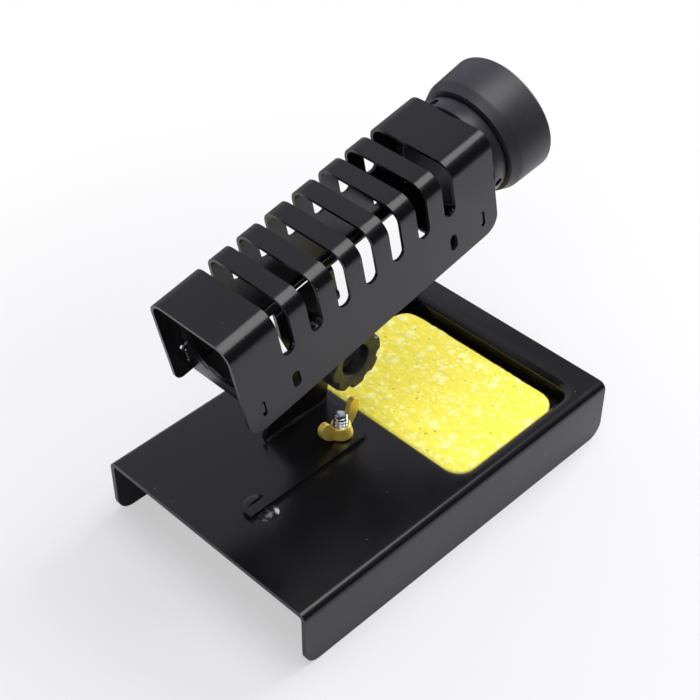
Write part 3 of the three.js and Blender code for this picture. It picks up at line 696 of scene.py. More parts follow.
def round_edges(obj: Piece, width_mm: float) -> None:
    """Rounds the sharp edges of an object for good.

    Args:
        obj: object to change.
        width_mm: width of the rounding.
    """
    modify(
        obj, "round edges", "BEVEL", width=width_mm * MM, segments=2, limit_method="ANGLE",
        angle_limit=math.radians(50), harden_normals=True, miter_outer="MITER_ARC",
    )
    settle(obj)


def mount(obj: Piece, body: Body, node: str) -> None:
    """Lets a piece ride on its body in place of a plain solid.

    Args:
        obj: finished piece.
        body: what it moves with.
        node: plain solid that it stands for.
    """
    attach(obj, body.value)
    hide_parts(node)
    LOG.info("%s rides on %s: %d faces", obj.name, body.value, len(obj.data.polygons))


def along(axis: Axis, centre: Place) -> Matrix:
    """Place of a shape drawn round +Z that is turned to an axis through a place."""
    return Matrix.Translation(centre) @ Matrix(axis.value).to_4x4()


def turned_rings(profile: Sequence[Point], steps: int) -> list[list[Place]]:
    """Rows of points round +Z for a profile of (radius, height) points."""
    unit = circle((0, 0), 1, steps)
    return [[(r * x, r * y, h) for x, y in unit] for r, h in profile]


def turned_piece(profile: Sequence[Point], steps: int = 64) -> Draft:
    """Turns a closed (radius, height) profile that stays off the axis into a ring round +Z."""
    return Draft().loft(turned_rings(profile, steps), closed=True)


@dataclass(frozen=True)
class Bend:
    """A bend of a flat sheet by a right angle.

    A positive radius folds the sheet away from its face and is measured on that face.
    """

    start: float
    radius: float
    steps: int = 6

    @property
    def length(self) -> float:
        """Sheet that the bend uses, along the face."""
        return abs(self.radius) * math.radians(90)


def folded_place(distance: float, depth: float, bends: Sequence[Bend]) -> Point:
    """Where a point of a flat sheet goes when the sheet is folded.

    Args:
        distance: from the sheet's line of origin, 0 or more.
        depth: below the sheet's face.
        bends: bends in order of their start.

    Returns:
        Place across the fold and height.
    """
    pos, heading, done = Vector((0.0, 0.0)), 0.0, 0.0
    for bend in bends:
        if distance <= bend.start:
            break
        pos += (bend.start - done) * Vector((math.cos(heading), math.sin(heading)))
        used = min(distance - bend.start, bend.length)
        centre = pos - bend.radius * Vector((-math.sin(heading), math.cos(heading)))
        heading -= used / bend.radius
        pos = centre + bend.radius * Vector((-math.sin(heading), math.cos(heading)))
        done = bend.start + used
    pos += max(0.0, distance - done) * Vector((math.cos(heading), math.sin(heading)))
    pos -= depth * Vector((-math.sin(heading), math.cos(heading)))
    return pos.x, pos.y


@dataclass
class Sheet:
    """A flat blank of sheet metal, given as (along, across) outlines, and how it is folded."""

    thickness: float
    outline: list[Point]
    holes: list[list[Point]] = field(default_factory=list)
    drawn: list[list[Point]] = field(default_factory=list)
    ahead: list[Bend] = field(default_factory=list)
    behind: list[Bend] = field(default_factory=list)

    def cut(self) -> tuple[Draft, list[tuple[Verts, Verts]]]:
        """Cuts the blank out, flat, with its face at height 0.

        Returns:
            The draft, and the two open rims of each drawn hole, on the face and on the back.
        """
        draft = Draft()
        loops = [self.outline, *self.holes, *self.drawn]
        faces = [draft.ring([(a, b, 0) for a, b in loop]) for loop in loops]
        backs = [draft.ring([(a, b, -self.thickness) for a, b in loop]) for loop in loops]
        flat_face, flat_back = sum(faces, []), sum(backs, [])
        for corners in tessellate_polygon([[Vector((a, b, 0)) for a, b in loop] for loop in loops]):
            draft.mesh.faces.new([flat_face[i] for i in corners])
            draft.mesh.faces.new([flat_back[i] for i in reversed(corners)])
        rims = list(zip(faces, backs, strict=True))
        closed = 1 + len(self.holes)
        for face, back in rims[:closed]:
            draft.bridge(face, back)
        return draft, rims[closed:]

    def fold(self, draft: Draft | None = None) -> Draft:
        """Bends the blank: across goes to Y, and the face looks up at the line of origin.

        Args:
            draft: the cut blank, where more was done to it.

        Returns:
            The folded draft.
        """
        draft = draft or self.cut()[0]
        mesh = draft.mesh
        bmesh.ops.dissolve_limit(
            mesh, angle_limit=math.radians(0.2), verts=mesh.verts, edges=mesh.edges,
            use_dissolve_boundaries=False,
        )
        for side, bend in [*((1, b) for b in self.ahead), *((-1, b) for b in self.behind)]:
            for step in range(bend.steps + 1):
                at = side * (bend.start + bend.length * step / bend.steps)
                bmesh.ops.bisect_plane(
                    mesh, geom=[*mesh.verts, *mesh.edges, *mesh.faces], dist=1e-5,
                    plane_co=(0, at, 0), plane_no=(0, 1, 0),
                )
        for vert in mesh.verts:
            side = 1 if vert.co.y >= 0 else -1
            y, z = folded_place(abs(vert.co.y), -vert.co.z, self.ahead if side > 0 else self.behind)
            vert.co.y, vert.co.z = side * y, z
        return draft


# ---- geometry node modifiers


class Recipe(Graph):
    """A geometry node tree with named inputs, used once as a modifier and then settled."""

    def __init__(self, name: str) -> None:
        """Starts a tree that takes and gives geometry.

        Args:
            name: the tree's name.
        """
        super().__init__(bpy.data.node_groups.new(name, "GeometryNodeTree"))
        for way in ("INPUT", "OUTPUT"):
            self.tree.interface.new_socket("Geometry", in_out=way, socket_type="NodeSocketGeometry")
        self.source = self.node("NodeGroupInput").socket.node
        self.values: dict[str, object] = {}

    @property
    def geometry(self) -> Wire:
        """What the modifier is given."""
        return Wire(self, self.source.outputs[0])

    def sizes(self, values: dict[str, float | int]) -> list[Wire]:
        """Adds named inputs.

        Args:
            values: the inputs' values by name; a whole number makes a whole-number input.

        Returns:
            The inputs.
        """
        wires = []
        for name, value in values.items():
            kind = "NodeSocketInt" if isinstance(value, int) else "NodeSocketFloat"
            socket = self.tree.interface.new_socket(name, in_out="INPUT", socket_type=kind)
            self.values[socket.identifier] = value
            wires.append(Wire(self, self.source.outputs[socket.identifier]))
        return wires

    def block(self, size: object) -> Wire:
        """A block of a size round the origin."""
        return self.node("GeometryNodeMeshCube", {}, {"Size": size})

    def rod(self, sides: int, radius: Wire, length: Wire) -> Wire:
        """A rod along Z round the origin."""
        inputs = {"Vertices": sides, "Radius": radius, "Depth": length}
        return self.node("GeometryNodeMeshCylinder", {}, inputs)

    def moved(self, solid: Wire, shift: Wire, turn: Place = (0.0, 0.0, 0.0)) -> Wire:
        """Turns a solid, angles in radians, and shifts it."""
        inputs = {"Geometry": solid, "Rotation": turn, "Translation": shift}
        return self.node("GeometryNodeTransform", {}, inputs)

    def combine(self, operation: str, first: Wire, second: Wire) -> Wire:
        """Joins, cuts or intersects two closed solids.

        Args:
            operation: UNION, DIFFERENCE or INTERSECT.
            first: solid that is kept or cut.
            second: solid that is added or taken away.

        Returns:
            The result.
        """
        settings = {"operation": operation, "solver": "MANIFOLD"}
        place = 0 if operation == "DIFFERENCE" else 1
        made = self.node("GeometryNodeMeshBoolean", settings, {place: first})
        self.feed(made.socket.node.inputs[1], second)
        return made

    def copies(
        self, solid: Wire, count: object, start: object, step: object = (0.0, 0.0, 0.0),
        turn: object = (0.0, 0.0, 0.0),
    ) -> Wire:
        """Sets out copies of a solid.

        Args:
            solid: what is copied.
            count: number of copies.
            start: place of the first.
            step: from each to the next.
            turn: angles of each, in radians.

        Returns:
            The copies, as real geometry.
        """
        line = {"Count": count, "Start Location": start, "Offset": step}
        points = self.node("GeometryNodeMeshLine", {}, line)
        turned = self.node("FunctionNodeEulerToRotation", {}, {0: turn})
        inputs = {"Points": points, "Instance": solid, "Rotation": turned}
        placed = self.node("GeometryNodeInstanceOnPoints", {}, inputs)
        return self.node("GeometryNodeRealizeInstances", {}, {0: placed})

    def apply(self, obj: Piece, result: Wire, finish: Finish) -> None:
        """Ends the tree, runs it on an object and keeps the mesh it makes.

        Args:
            obj: object to change.
            result: geometry to keep.
            finish: finish of all of it.
        """
        real = self.node("GeometryNodeRealizeInstances", {}, {0: result})
        inputs = {"Geometry": real, "Material": finish.material()}
        self.node("NodeGroupOutput", {}, {0: self.node("GeometryNodeSetMaterial", {}, inputs)})
        modifier = obj.modifiers.new(self.tree.name, "NODES")
        modifier.node_group = self.tree
        for identifier, value in self.values.items():
            modifier[identifier] = value
        settle(obj)

    def push(self, obj: Piece, direction: Wire, distance: Wire, finish: Finish) -> None:
        """Moves an object's surface and keeps the mesh.

        Args:
            obj: object to change.
            direction: way to go at each vertex.
            distance: how far each vertex goes.
            finish: finish of all of it.
        """
        offset = self.vector_math("MULTIPLY", direction, distance)
        inputs = {"Geometry": self.geometry, "Offset": offset}
        self.apply(obj, self.node("GeometryNodeSetPosition", {}, inputs), finish)


# ---- base and sponge


@dataclass
class Base:
    """Folded base with a drawn tray and two half-round rises beside the bracket's tongue."""

    length: float = 150.0
    width: float = 96.0
    height: float = 24.5
    sheet: float = 1.8
    bend: float = 3.0
    flange_corner: float = 6.0
    edge: float = 0.4
    tray_centre: Point = (33.5, -1.0)
    tray_size: Point = (59.0, 80.0)
    tray_depth: float = 10.0
    tray_corner: float = 6.0
    tray_rim: float = 3.0
    tray_floor: float = 2.5
    screw: Point = (-11.5, 0.4)
    screw_hole: float = 5.6
    rise_radius: float = 4.3
    rise_height: float = 1.7
    rise_reach: float = 2.6
    rise_root: float = 0.6
    rise_block: float = 14.0
    rises: Point = (-53.3, -4.4)

    def _tray_row(self, offset: float, height: float) -> list[Place]:
        """Points round the tray, at an offset from its wall and a height from the base's top."""
        size = (self.tray_size[0] + 2 * offset, self.tray_size[1] + 2 * offset)
        row = rounded_rectangle(self.tray_centre, size, self.tray_corner + offset, 10)
        return [(x, y, height) for x, y in row]

    def _draw_tray(self, draft: Draft, rim: Verts, depth: float) -> None:
        """Draws the sheet down from an open rim to the tray's floor.

        Args:
            draft: the flat base.
            rim: the open rim on the face or on the back.
            depth: how far below the face this side of the sheet is.
        """
        curl, floor = self.tray_rim - depth, self.tray_floor + depth
        foot = -self.tray_depth + self.tray_floor
        rolled = [math.radians(90 * i / 8) for i in range(1, 9)]
        hollow = [math.radians(90 * i / 7) for i in range(8)]
        row = rim
        for offset, height in [
            *((self.tray_rim - curl * math.sin(a), -self.tray_rim + curl * math.cos(a)) for a in rolled),
            *((-self.tray_floor + floor * math.cos(a), foot - floor * math.sin(a)) for a in hollow),
        ]:
            following = draft.ring(self._tray_row(offset, height))
            draft.bridge(row, following)
            row = following
        draft.cap(row)

    def _press_rises(self, base: Piece) -> None:
        """Shears the two half-round rises out of the base and presses them up.

        Args:
            base: the folded base, in metres.
        """
        recipe = Recipe("sheared rises")
        reach, height, sheet, root, ball = recipe.sizes({
            "Reach": self.rise_reach * MM,
            "Height": self.rise_height * MM,
            "Sheet": self.sheet * MM,
            "Root": self.rise_root * MM,
            "Ball radius": (self.rise_radius**2 + self.rise_height**2) / (2 * self.rise_height) * MM,
        })
        block = self.rise_block * MM
        middle = (self.rises[0] * MM, self.rises[1] * MM, self.height * MM)
        turn = recipe.vector(0.0, 0.0, recipe.node("GeometryNodeInputIndex") * math.pi)
        pairs = []
        # each is a part of a ball beyond a face and above a level, on both sides of the tongue
        for top, face, low in (
            (height, reach, sheet * -0.5), (height - sheet, reach + root, sheet * -3)
        ):
            inputs = {"Segments": 96, "Rings": 72, "Radius": ball}
            sphere = recipe.node("GeometryNodeMeshUVSphere", {}, inputs)
            placed = recipe.moved(sphere, recipe.vector(0.0, reach, top - ball))
            beyond = recipe.moved(
                recipe.block((block, block, block)), recipe.vector(0.0, face + block / 2, low + block / 2)
            )
            half = recipe.combine("INTERSECT", placed, beyond)
            pairs.append(recipe.copies(half, 2, middle, turn=turn))
        raised = recipe.combine("UNION", recipe.geometry, pairs[0])
        recipe.apply(base, recipe.combine("DIFFERENCE", raised, pairs[1]), PAINT)

    def build(self) -> None:
        """Cuts, draws and folds the base."""
        half = self.width / 2 - self.bend
        bend = Bend(half, self.bend, steps=10)
        edge = half + bend.length + self.height - self.bend
        long, r = self.length / 2, self.flange_corner
        corners = ((long, edge), (-long, edge), (-long, -edge), (long, -edge))
        outline = [point for i, corner in enumerate(corners) for point in rounded(corner, r, 90 * i)]
        tray = [(x, y) for x, y, _ in self._tray_row(self.tray_rim, 0)]
        hole = circle(self.screw, self.screw_hole / 2)
        sheet = Sheet(self.sheet, outline, [hole], [tray], [bend], [bend])
        draft, rims = sheet.cut()
        for rim, depth in zip(rims[0], (0.0, self.sheet), strict=True):
            self._draw_tray(draft, rim, depth)
        place = Matrix.Translation((0, 0, self.height))
        base = sheet.fold(draft).object("pressed_base", PAINT, place)
        self._press_rises(base)
        round_edges(base, self.edge)
        mount(base, Body.STAND, "base_plate")


@dataclass
class CleaningSponge:
    """Cellulose sponge that lies loose in the tray."""

    centre: Point = (31.5, -2.5)
    size: Point = (53.4, 75.4)
    corner: float = 8.0
    bottom: float = 14.8
    thickness: float = 6.4
    crown: float = 0.45
    edge: float = 0.9
    cell_mm: float = 0.42
    pit_depth: float = 0.5
    cell_height: float = 0.11
    roughness: float = 0.28
    grain_mm: float = 1.1
    lump_mm: float = 5.0
    fill: float = 0.9

    def _open_pores(self, sponge: Piece) -> None:
        """Sinks pits into the sponge and lifts its closed cells a little.

        Args:
            sponge: the plain sponge, in metres.
        """
        recipe = Recipe("sponge pores")
        depth, swell, rough = recipe.sizes({
            "Pit depth": self.pit_depth * MM,
            "Cell height": self.cell_height * MM,
            "Roughness": self.roughness * MM,
        })
        place = recipe.node("GeometryNodeInputPosition")
        pale, pit = sponge_cells(recipe, place)
        grain = recipe.noise(place, self.grain_mm, 3.0) - 0.5
        lumps = recipe.noise(place, self.lump_mm, 1.0) - 0.5
        height = grain * rough + lumps * (rough * 2) + pale * swell - pit * depth
        recipe.push(sponge, recipe.node("GeometryNodeInputNormal"), height, SPONGE)

    def build(self) -> None:
        """Makes the block, gives it an even fine mesh and opens its pores."""
        low, top, edge = self.bottom, self.bottom + self.thickness, self.edge
        quarter = [math.radians(90 * i / 4) for i in range(5)]
        inset = self.corner - 0.6
        dome = [i / 5 for i in range(1, 6)]
        section = [
            (-inset, low),
            *((-edge * (1 - math.sin(a)), low + edge * (1 - math.cos(a))) for a in quarter),
            *((-edge * (1 - math.cos(a)), top - edge * (1 - math.sin(a))) for a in quarter),
            *((-edge - (inset - edge) * t, top + self.crown * math.sin(t * math.pi / 2)) for t in dome),
        ]
        rows = []
        for offset, height in section:
            size = (self.size[0] + 2 * offset, self.size[1] + 2 * offset)
            row = rounded_rectangle(self.centre, size, self.corner + offset)
            rows.append([(x, y, height) for x, y in row])
        sponge = Draft().loft(rows).object("pored_sponge", SPONGE)
        modify(sponge, "even mesh", "REMESH", mode="VOXEL", voxel_size=self.cell_mm * MM,
               use_smooth_shade=True)
        settle(sponge)
        self._open_pores(sponge)
        mount(sponge, Body.SPONGE, "cleaning_sponge")


# ---- bracket, screws and nut


@dataclass(frozen=True)
class Thread:
    """A rounded screw thread that starts at height 0."""

    crest: float
    pitch: float
    length: float
    depth_share: float = 0.42
    flank: Point = (0.04, 0.34)
    core_share: float = 0.93

    def rows(self) -> list[Point]:
        """Close rows of (radius, height) along the plain stud."""
        count = round(self.length / self.pitch * 12)
        return [(self.crest, self.length * i / count) for i in range(count + 1)]

    def wind(self, stud: Piece) -> None:
        """Winds the groove into a plain stud that stands on +Z.

        Args:
            stud: the stud, in metres, with the thread's start at height 0.
        """
        recipe = Recipe("thread")
        pitch, depth, crest = recipe.sizes({
            "Pitch": self.pitch * MM,
            "Depth": self.depth_share * self.pitch * MM,
            "Crest radius": self.crest * MM,
        })
        x, y, z = recipe.parts(recipe.node("GeometryNodeInputPosition"))
        across = recipe.vector(x, y)
        turn = recipe.math("ARCTAN2", y, x) * (0.5 / math.pi)
        valley = recipe.math("ABSOLUTE", recipe.math("FRACT", z / pitch - turn) - 0.5)
        groove = 1 - recipe.ramp(valley, *self.flank)
        run_in = recipe.ramp(z, 0.0, self.pitch * 0.5 * MM)
        fading, gone = self.length - 0.9 * self.pitch, self.length - 0.3 * self.pitch
        run_out = 1 - recipe.ramp(z, fading * MM, gone * MM)
        outside = recipe.vector_math("LENGTH", across) > crest * self.core_share
        deep = groove * run_in * run_out * outside * depth * -1
        recipe.push(stud, recipe.vector_math("NORMALIZE", across), deep, ZINC)


@dataclass
class Bracket:
    """L-shaped bracket with a keyed tongue, and its upright."""

    sheet: float = 1.6
    bend: float = 1.2
    foot_top: float = 26.1
    front: float = -6.2
    upright_front: float = 16.5
    stem: Point = (-32.0, -2.5)
    tongue_tip: float = -59.4
    tongue_width: float = 3.6
    corner: float = 5.0
    slope: float = 51.0
    fillet: float = 12.0
    head_radius: float = 8.5
    pivot: Point = (-6.0, 57.7)
    pivot_hole: float = 6.7
    screw: Point = (-11.5, 0.4)
    screw_hole: float = 5.6

    def build(self) -> None:
        """Cuts the blank and folds the upright."""
        flat = self.upright_front - self.bend - self.front
        bend = Bend(flat, -self.bend, steps=7)
        near, far = self.stem

        def across(height: float) -> float:
            """Distance along the sheet for a height on the upright."""
            return flat + bend.length + height - self.foot_top - self.bend

        slope = math.radians(self.slope)
        back = self.tongue_width
        meet = near - (self.upright_front - self.front - back) / math.tan(slope)
        reach = self.fillet * math.tan(slope / 2)
        centre = (self.pivot[0], across(self.pivot[1]))
        foot_height = across(self.foot_top - self.sheet)
        right = tangent_angles((far, foot_height), centre, self.head_radius)[1]
        left = tangent_angles((near, foot_height), centre, self.head_radius)[0]
        fillet = arc((meet - reach, back + self.fillet), self.fillet, -90, self.slope - 90, 10)
        outline = [
            *rounded((far, 0), self.corner, -90), (far, flat), (far, flat + bend.length),
            *arc(centre, self.head_radius, right, left + 360, 28),
            (near, flat + bend.length), (near, flat), *reversed(fillet),
            (self.tongue_tip, back), (self.tongue_tip, 0),
        ]
        screw = (self.screw[0], self.screw[1] - self.front)
        holes = [circle(screw, self.screw_hole / 2), circle(centre, self.pivot_hole / 2)]
        place = Matrix.Translation((0, self.front, self.foot_top))
        Sheet(self.sheet, outline, holes, ahead=[bend]).fold().piece(
            "angle_bracket", "support_bracket", Body.STAND, PAINT, place, round_mm=0.3
        )


@dataclass
class Clamp:
    """Screw, washer and wing nut that hold the bracket on the base."""

    centre: Point = (-11.5, 0.4)
    thread: Thread = Thread(crest=2.48, pitch=1.3, length=11.7)
    thread_top: float = 0.35
    washer_top: float = 22.7
    washer_radius: float = 6.0
    head_radius: float = 4.75
    head_height: float = 3.0
    screw_top: float = 34.9
    nut_bottom: float = 26.4
    boss: Point = (4.4, 3.45)
    boss_height: float = 4.7
    wing_span: float = 19.4
    wing_height: float = 11.6
    wing_thickness: float = 2.1
    wing_turn: float = 3.0
    wing_lean: float = 9.0
    casting_mm: float = 0.14
    casting_rounds: int = 4

    def _screw(self) -> None:
        """Turns the screw with its pan head and winds its thread."""
        start = self.screw_top - self.thread_top - self.thread.length
        low = self.washer_top - 1 - self.head_height - start
        seat = self.washer_top - 1 - start
        head, crest, top = self.head_radius, self.thread.crest, self.screw_top - start
        screw = Draft().loft(turned_rings([
            (1.2, low), (head - 1.4, low), (head - 0.4, low + 0.8), (head, low + 1.8), (head, seat - 0.2),
            (head - 0.2, seat), (crest, seat), *self.thread.rows(), (crest - 0.06, top - 0.15),
            (crest - 0.2, top - 0.03), (crest - 0.32, top), (0.4, top),
        ], 48)).object("threaded_clamp_screw", ZINC, smooth_angle=30)
        self.thread.wind(screw)
        screw.data.transform(Matrix.Translation(Vector((*self.centre, start)) * MM))
        mount(screw, Body.STAND, "clamp_screw")

    def _washer(self) -> None:
        """Turns the washer under the screw's head."""
        top, inner, outer = self.washer_top, self.thread.crest + 0.27, self.washer_radius
        turned_piece([
            (inner, top - 1), (outer - 0.15, top - 1), (outer, top - 0.85), (outer, top), (inner, top)
        ]).piece(
            "plated_clamp_washer", "clamp_washer", Body.STAND, ZINC, Matrix.Translation((*self.centre, 0))
        )

    def _wing(self, side: int) -> list[Point]:
        """Outline of a wing.

        Args:
            side: -1 or 1, the side of the boss.

        Returns:
            Points across and up.
        """
        reach, root, high = self.wing_span / 2, self.boss[0], self.wing_height
        ends = [
            (root - 2.2, 0.6), (root - 0.3, 0.7), (reach - 0.6, high * 0.53), (reach - 0.9, high * 0.93),
            (reach - 4.4, high * 0.89), (root - 1.2, self.boss_height - 0.9),
        ]
        pulls = [
            (root - 1, 0.5), (root + 2.8, high * 0.2), (reach + 0.6, high * 0.8),
            (reach - 2.5, high * 1.07), (root - 0.5, high * 0.65),
        ]
        points = []
        for a, b, c in zip(ends, pulls, ends[1:], strict=False):
            for t in (i / 7 for i in range(7)):
                points.append([
                    (1 - t) ** 2 * a[k] + 2 * t * (1 - t) * b[k] + t * t * c[k] for k in (0, 1)
                ])
        points += [ends[-1], (root - 2.2, self.boss_height - 1.2)]
        lean, hub = math.radians(self.wing_lean), self.boss_height / 2
        cos, sin = math.cos(lean), math.sin(lean)
        return [
            (side * x * cos - (z - hub) * sin, hub + side * x * sin + (z - hub) * cos) for x, z in points
        ]

    def _nut(self) -> None:
        """Joins boss and wings and softens them like a casting."""
        (bottom, top), height = self.boss, self.boss_height
        bore = self.thread.crest + 0.22
        draft = turned_piece([
            (bore, 0), (bottom - 0.3, 0), (bottom, 0.3), (bottom, 0.9), (top, height - 0.25),
            (top - 0.3, height), (bore + 0.3, height), (bore, height - 0.4),
        ], 96)
        half = self.wing_thickness / 2
        for outline in (self._wing(-1), self._wing(1)):
            draft.loft([[(x, y, z) for x, z in outline] for y in (-half, half)])
        place = Matrix.Translation((*self.centre, self.nut_bottom)) @ Matrix.Rotation(
            math.radians(self.wing_turn), 4, "Z"
        )
        nut = draft.object("cast_wing_nut", BRASS, place)
        modify(nut, "casting", "REMESH", mode="VOXEL", voxel_size=self.casting_mm * MM,
               use_smooth_shade=True)
        modify(nut, "soft edges", "SMOOTH", factor=0.5, iterations=self.casting_rounds)
        settle(nut)
        mount(nut, Body.NUT, "wing_nut")

    def build(self) -> None:
        """Makes the screw, the washer and the nut."""
        self._screw()
        self._washer()
        self._nut()


# ---- tilt pivot


@dataclass
class Pivot:
    """Bolt, washers and scalloped knob on which the holder tilts."""

    centre: Point = (-6.0, 57.7)
    thread: Thread = Thread(crest=2.98, pitch=1.0, length=9.6)
    bolt_end: float = 5.1
    head_front: float = 21.6
    head_height: float = 4.0
    head_flats: float = 10.0
    washer_radius: float = 6.0
    bolt_washer: Point = (20.6, 21.6)
    knob_washer: Point = (15.5, 16.5)
    spring_washer: Point = (13.9, 15.5)
    spring_radius: float = 5.5
    knob_radius: float = 11.75
    knob_face: float = -1.9
    head_thickness: float = 10.1
    hub_radius: float = 7.0
    knob_back: float = 13.6
    lobes: int = 8
    lobe_steps: int = 32
    notch_radius: float = 2.0
    notch_depth: float = 1.4
    notch_turn: float = -16.4
    dish: float = 0.5
    recess_radius: float = 6.0
    recess_depth: float = 4.5
    insert_radius: float = 4.5
    insert_length: float = 9.0

    def _axis(self, along_y: float = 0.0) -> Matrix:
        """Place of a piece drawn round +Z on the pivot's axis: +X goes to +Z and +Y to +X."""
        return along(Axis.Y, (self.centre[0], along_y, self.centre[1]))

    def _outline(self, inset: float) -> list[Point]:
        """Scalloped outline of the knob.

        Args:
            inset: how far it is drawn in.

        Returns:
            The points.
        """
        notch = self.notch_radius + inset
        centre = self.knob_radius + self.notch_radius - self.notch_depth
        pitch, count = 2 * math.pi / self.lobes, self.lobes * self.lobe_steps
        points = []
        for angle in (2 * math.pi * i / count for i in range(count)):
            turn = angle - math.radians(self.notch_turn)
            off = abs((turn + pitch / 2) % pitch - pitch / 2)
            room = notch**2 - (centre * math.sin(off)) ** 2
            reach = self.knob_radius - inset
            if room > 0:
                reach = min(reach, centre * math.cos(off) - math.sqrt(room))
            points.append((reach * math.cos(angle), reach * math.sin(angle)))
        return points

    def _knob(self) -> None:
        """Skins the knob from its recess over the scalloped head to the hub's socket."""
        face, back = self.knob_face, self.knob_face + self.head_thickness
        sunk, deep = face + self.dish, face + self.recess_depth
        r, hub, end = self.recess_radius, self.hub_radius, self.knob_back
        socket, floor = self.insert_radius + 0.15, end - self.insert_length - 0.15
        recess = [
            (2.0, deep), (r - 0.35, deep), (r, deep - 0.35), (r, sunk + 0.35), (r + 0.12, sunk + 0.12),
            (r + 0.4, sunk), (r + 1.4, sunk - 0.12),
        ]
        scallops = [
            (1.6, face + 0.05), (0.9, face), (0.5, face + 0.1), (0.18, face + 0.38), (0.0, face + 0.85),
            (0.0, back - 0.8), (0.18, back - 0.35), (0.6, back - 0.05), (1.2, back),
        ]
        shank = [
            (hub + 0.7, back), (hub, back + 0.6), (hub, end - 0.5), (hub - 0.5, end), (socket, end),
            (socket, floor), (2.0, floor),
        ]
        steps = self.lobes * self.lobe_steps
        outlines = [
            *((circle((0, 0), radius, steps), y) for radius, y in recess),
            *((self._outline(inset), y) for inset, y in scallops),
            *((circle((0, 0), radius, steps), y) for radius, y in shank),
        ]
        turn = Matrix(((1, 0, 0), (0, 0, 1), (0, 1, 0))).to_4x4()
        place = Matrix.Translation((self.centre[0], 0, self.centre[1])) @ turn
        Draft().loft([[(x, z, y) for x, z in outline] for outline, y in outlines]).piece(
            "scalloped_knob", "tilt_knob", Body.KNOB, KNOB_PLASTIC, place, smooth_angle=50
        )

    def _insert(self) -> None:
        """Turns the brass insert in the knob."""
        inner, outer = self.thread.crest + 0.32, self.insert_radius
        low, high = self.knob_back - self.insert_length, self.knob_back
        turned_piece(
            [(inner, low), (outer, low), (outer, high), (inner + 0.4, high), (inner, high - 0.4)]
        ).piece("brass_insert", "knob_insert", Body.KNOB, BRASS, self._axis())

    def _washers(self) -> None:
        """Turns the two flat washers and bends the split one."""
        inner, outer = self.thread.crest + 0.27, self.washer_radius
        for node, (low, high) in (("bolt_washer", self.bolt_washer), ("knob_washer", self.knob_washer)):
            turned_piece([
                (inner, low), (outer - 0.15, low), (outer, low + 0.15), (outer, high - 0.15),
                (outer - 0.15, high), (inner, high),
            ]).piece(f"plated_{node}", node, Body.STAND, ZINC, self._axis())
        low, high = self.spring_washer[0] + 0.12, self.spring_washer[1] - 0.12
        rows = []
        for i in range(61):
            angle = math.radians(6 + 348 * i / 60)
            rise = 0.12 * (i / 30 - 1)
            section = [(inner, low), (self.spring_radius, low), (self.spring_radius, high), (inner, high)]
            rows.append([(r * math.cos(angle), r * math.sin(angle), h + rise) for r, h in section])
        Draft().loft(rows).piece(
            "split_spring_washer", "knob_spring_washer", Body.STAND, ZINC, self._axis(), round_mm=0.1
        )

    def _bolt(self) -> None:
        """Makes the hexagon bolt and winds its thread."""
        crest, end = self.thread.crest, self.head_front - self.bolt_end + 0.5
        shank = Draft().loft(turned_rings([
            (0.5, -0.4), (crest - 0.5, -0.4), *self.thread.rows(), (crest, end), (0.5, end),
        ], 48)).object("threaded_shank", ZINC)
        self.thread.wind(shank)
        start = Vector((self.centre[0], self.bolt_end + 0.4, self.centre[1])) * MM
        shank.data.transform(Matrix.Translation(start) @ along(Axis.Y, (0, 0, 0)))
        mount(shank, Body.STAND, "pivot_bolt")
        half, high = self.head_flats / 2, self.head_height
        corner = half / math.cos(math.pi / 6)
        rows = []
        for height, trim in (
            (0, corner), (0.3, 9), (high - 1.1, 9), (high - 0.55, corner - 0.15), (high, corner - 0.75)
        ):
            row = []
            for angle in (math.radians(5 * i) for i in range(72)):
                flat = (angle + math.pi / 6) % (math.pi / 3) - math.pi / 6
                reach = min(half / math.cos(flat), trim)
                row.append((reach * math.cos(angle), reach * math.sin(angle), height))
            rows.append(row)
        Draft().loft(rows).piece(
            "hexagon_head", "pivot_bolt", Body.STAND, ZINC, self._axis(self.head_front), smooth_angle=25
        )

    def build(self) -> None:
        """Makes the bolt, its washers and the knob."""
        self._knob()
        self._insert()
        self._washers()
        self._bolt()


# ---- tilted holder


@dataclass(frozen=True)
class HolderFrame:
    """The holder's own frame: x along the cage from its near end, z up from its lower edges."""

    tilt: float = 11.2
    pivot: Place = (-6.0, 0.0, 57.7)
    pivot_along: float = 53.5
    pivot_below: float = 22.2
    length: float = 114.0
    centre_y: float = 4.3
    axis_height: float = 22.4

    @property
    def place(self) -> Matrix:
        """From the holder's frame to the row frame, in millimetres."""
        turn = Matrix.Rotation(-math.radians(self.tilt), 4, "Y")
        shift = Matrix.Translation((-self.pivot_along, 0, self.pivot_below))
        return Matrix.Translation(self.pivot) @ turn @ shift

    @property
    def place_metres(self) -> Matrix:
        """The same for a mesh that is in metres."""
        return Matrix.Scale(MM, 4) @ self.place @ Matrix.Scale(1 / MM, 4)

    @property
    def axis(self) -> Matrix:
        """Place in the holder's frame of a piece drawn round +Z on the funnel's axis."""
        return along(Axis.X, (0, self.centre_y, self.axis_height))


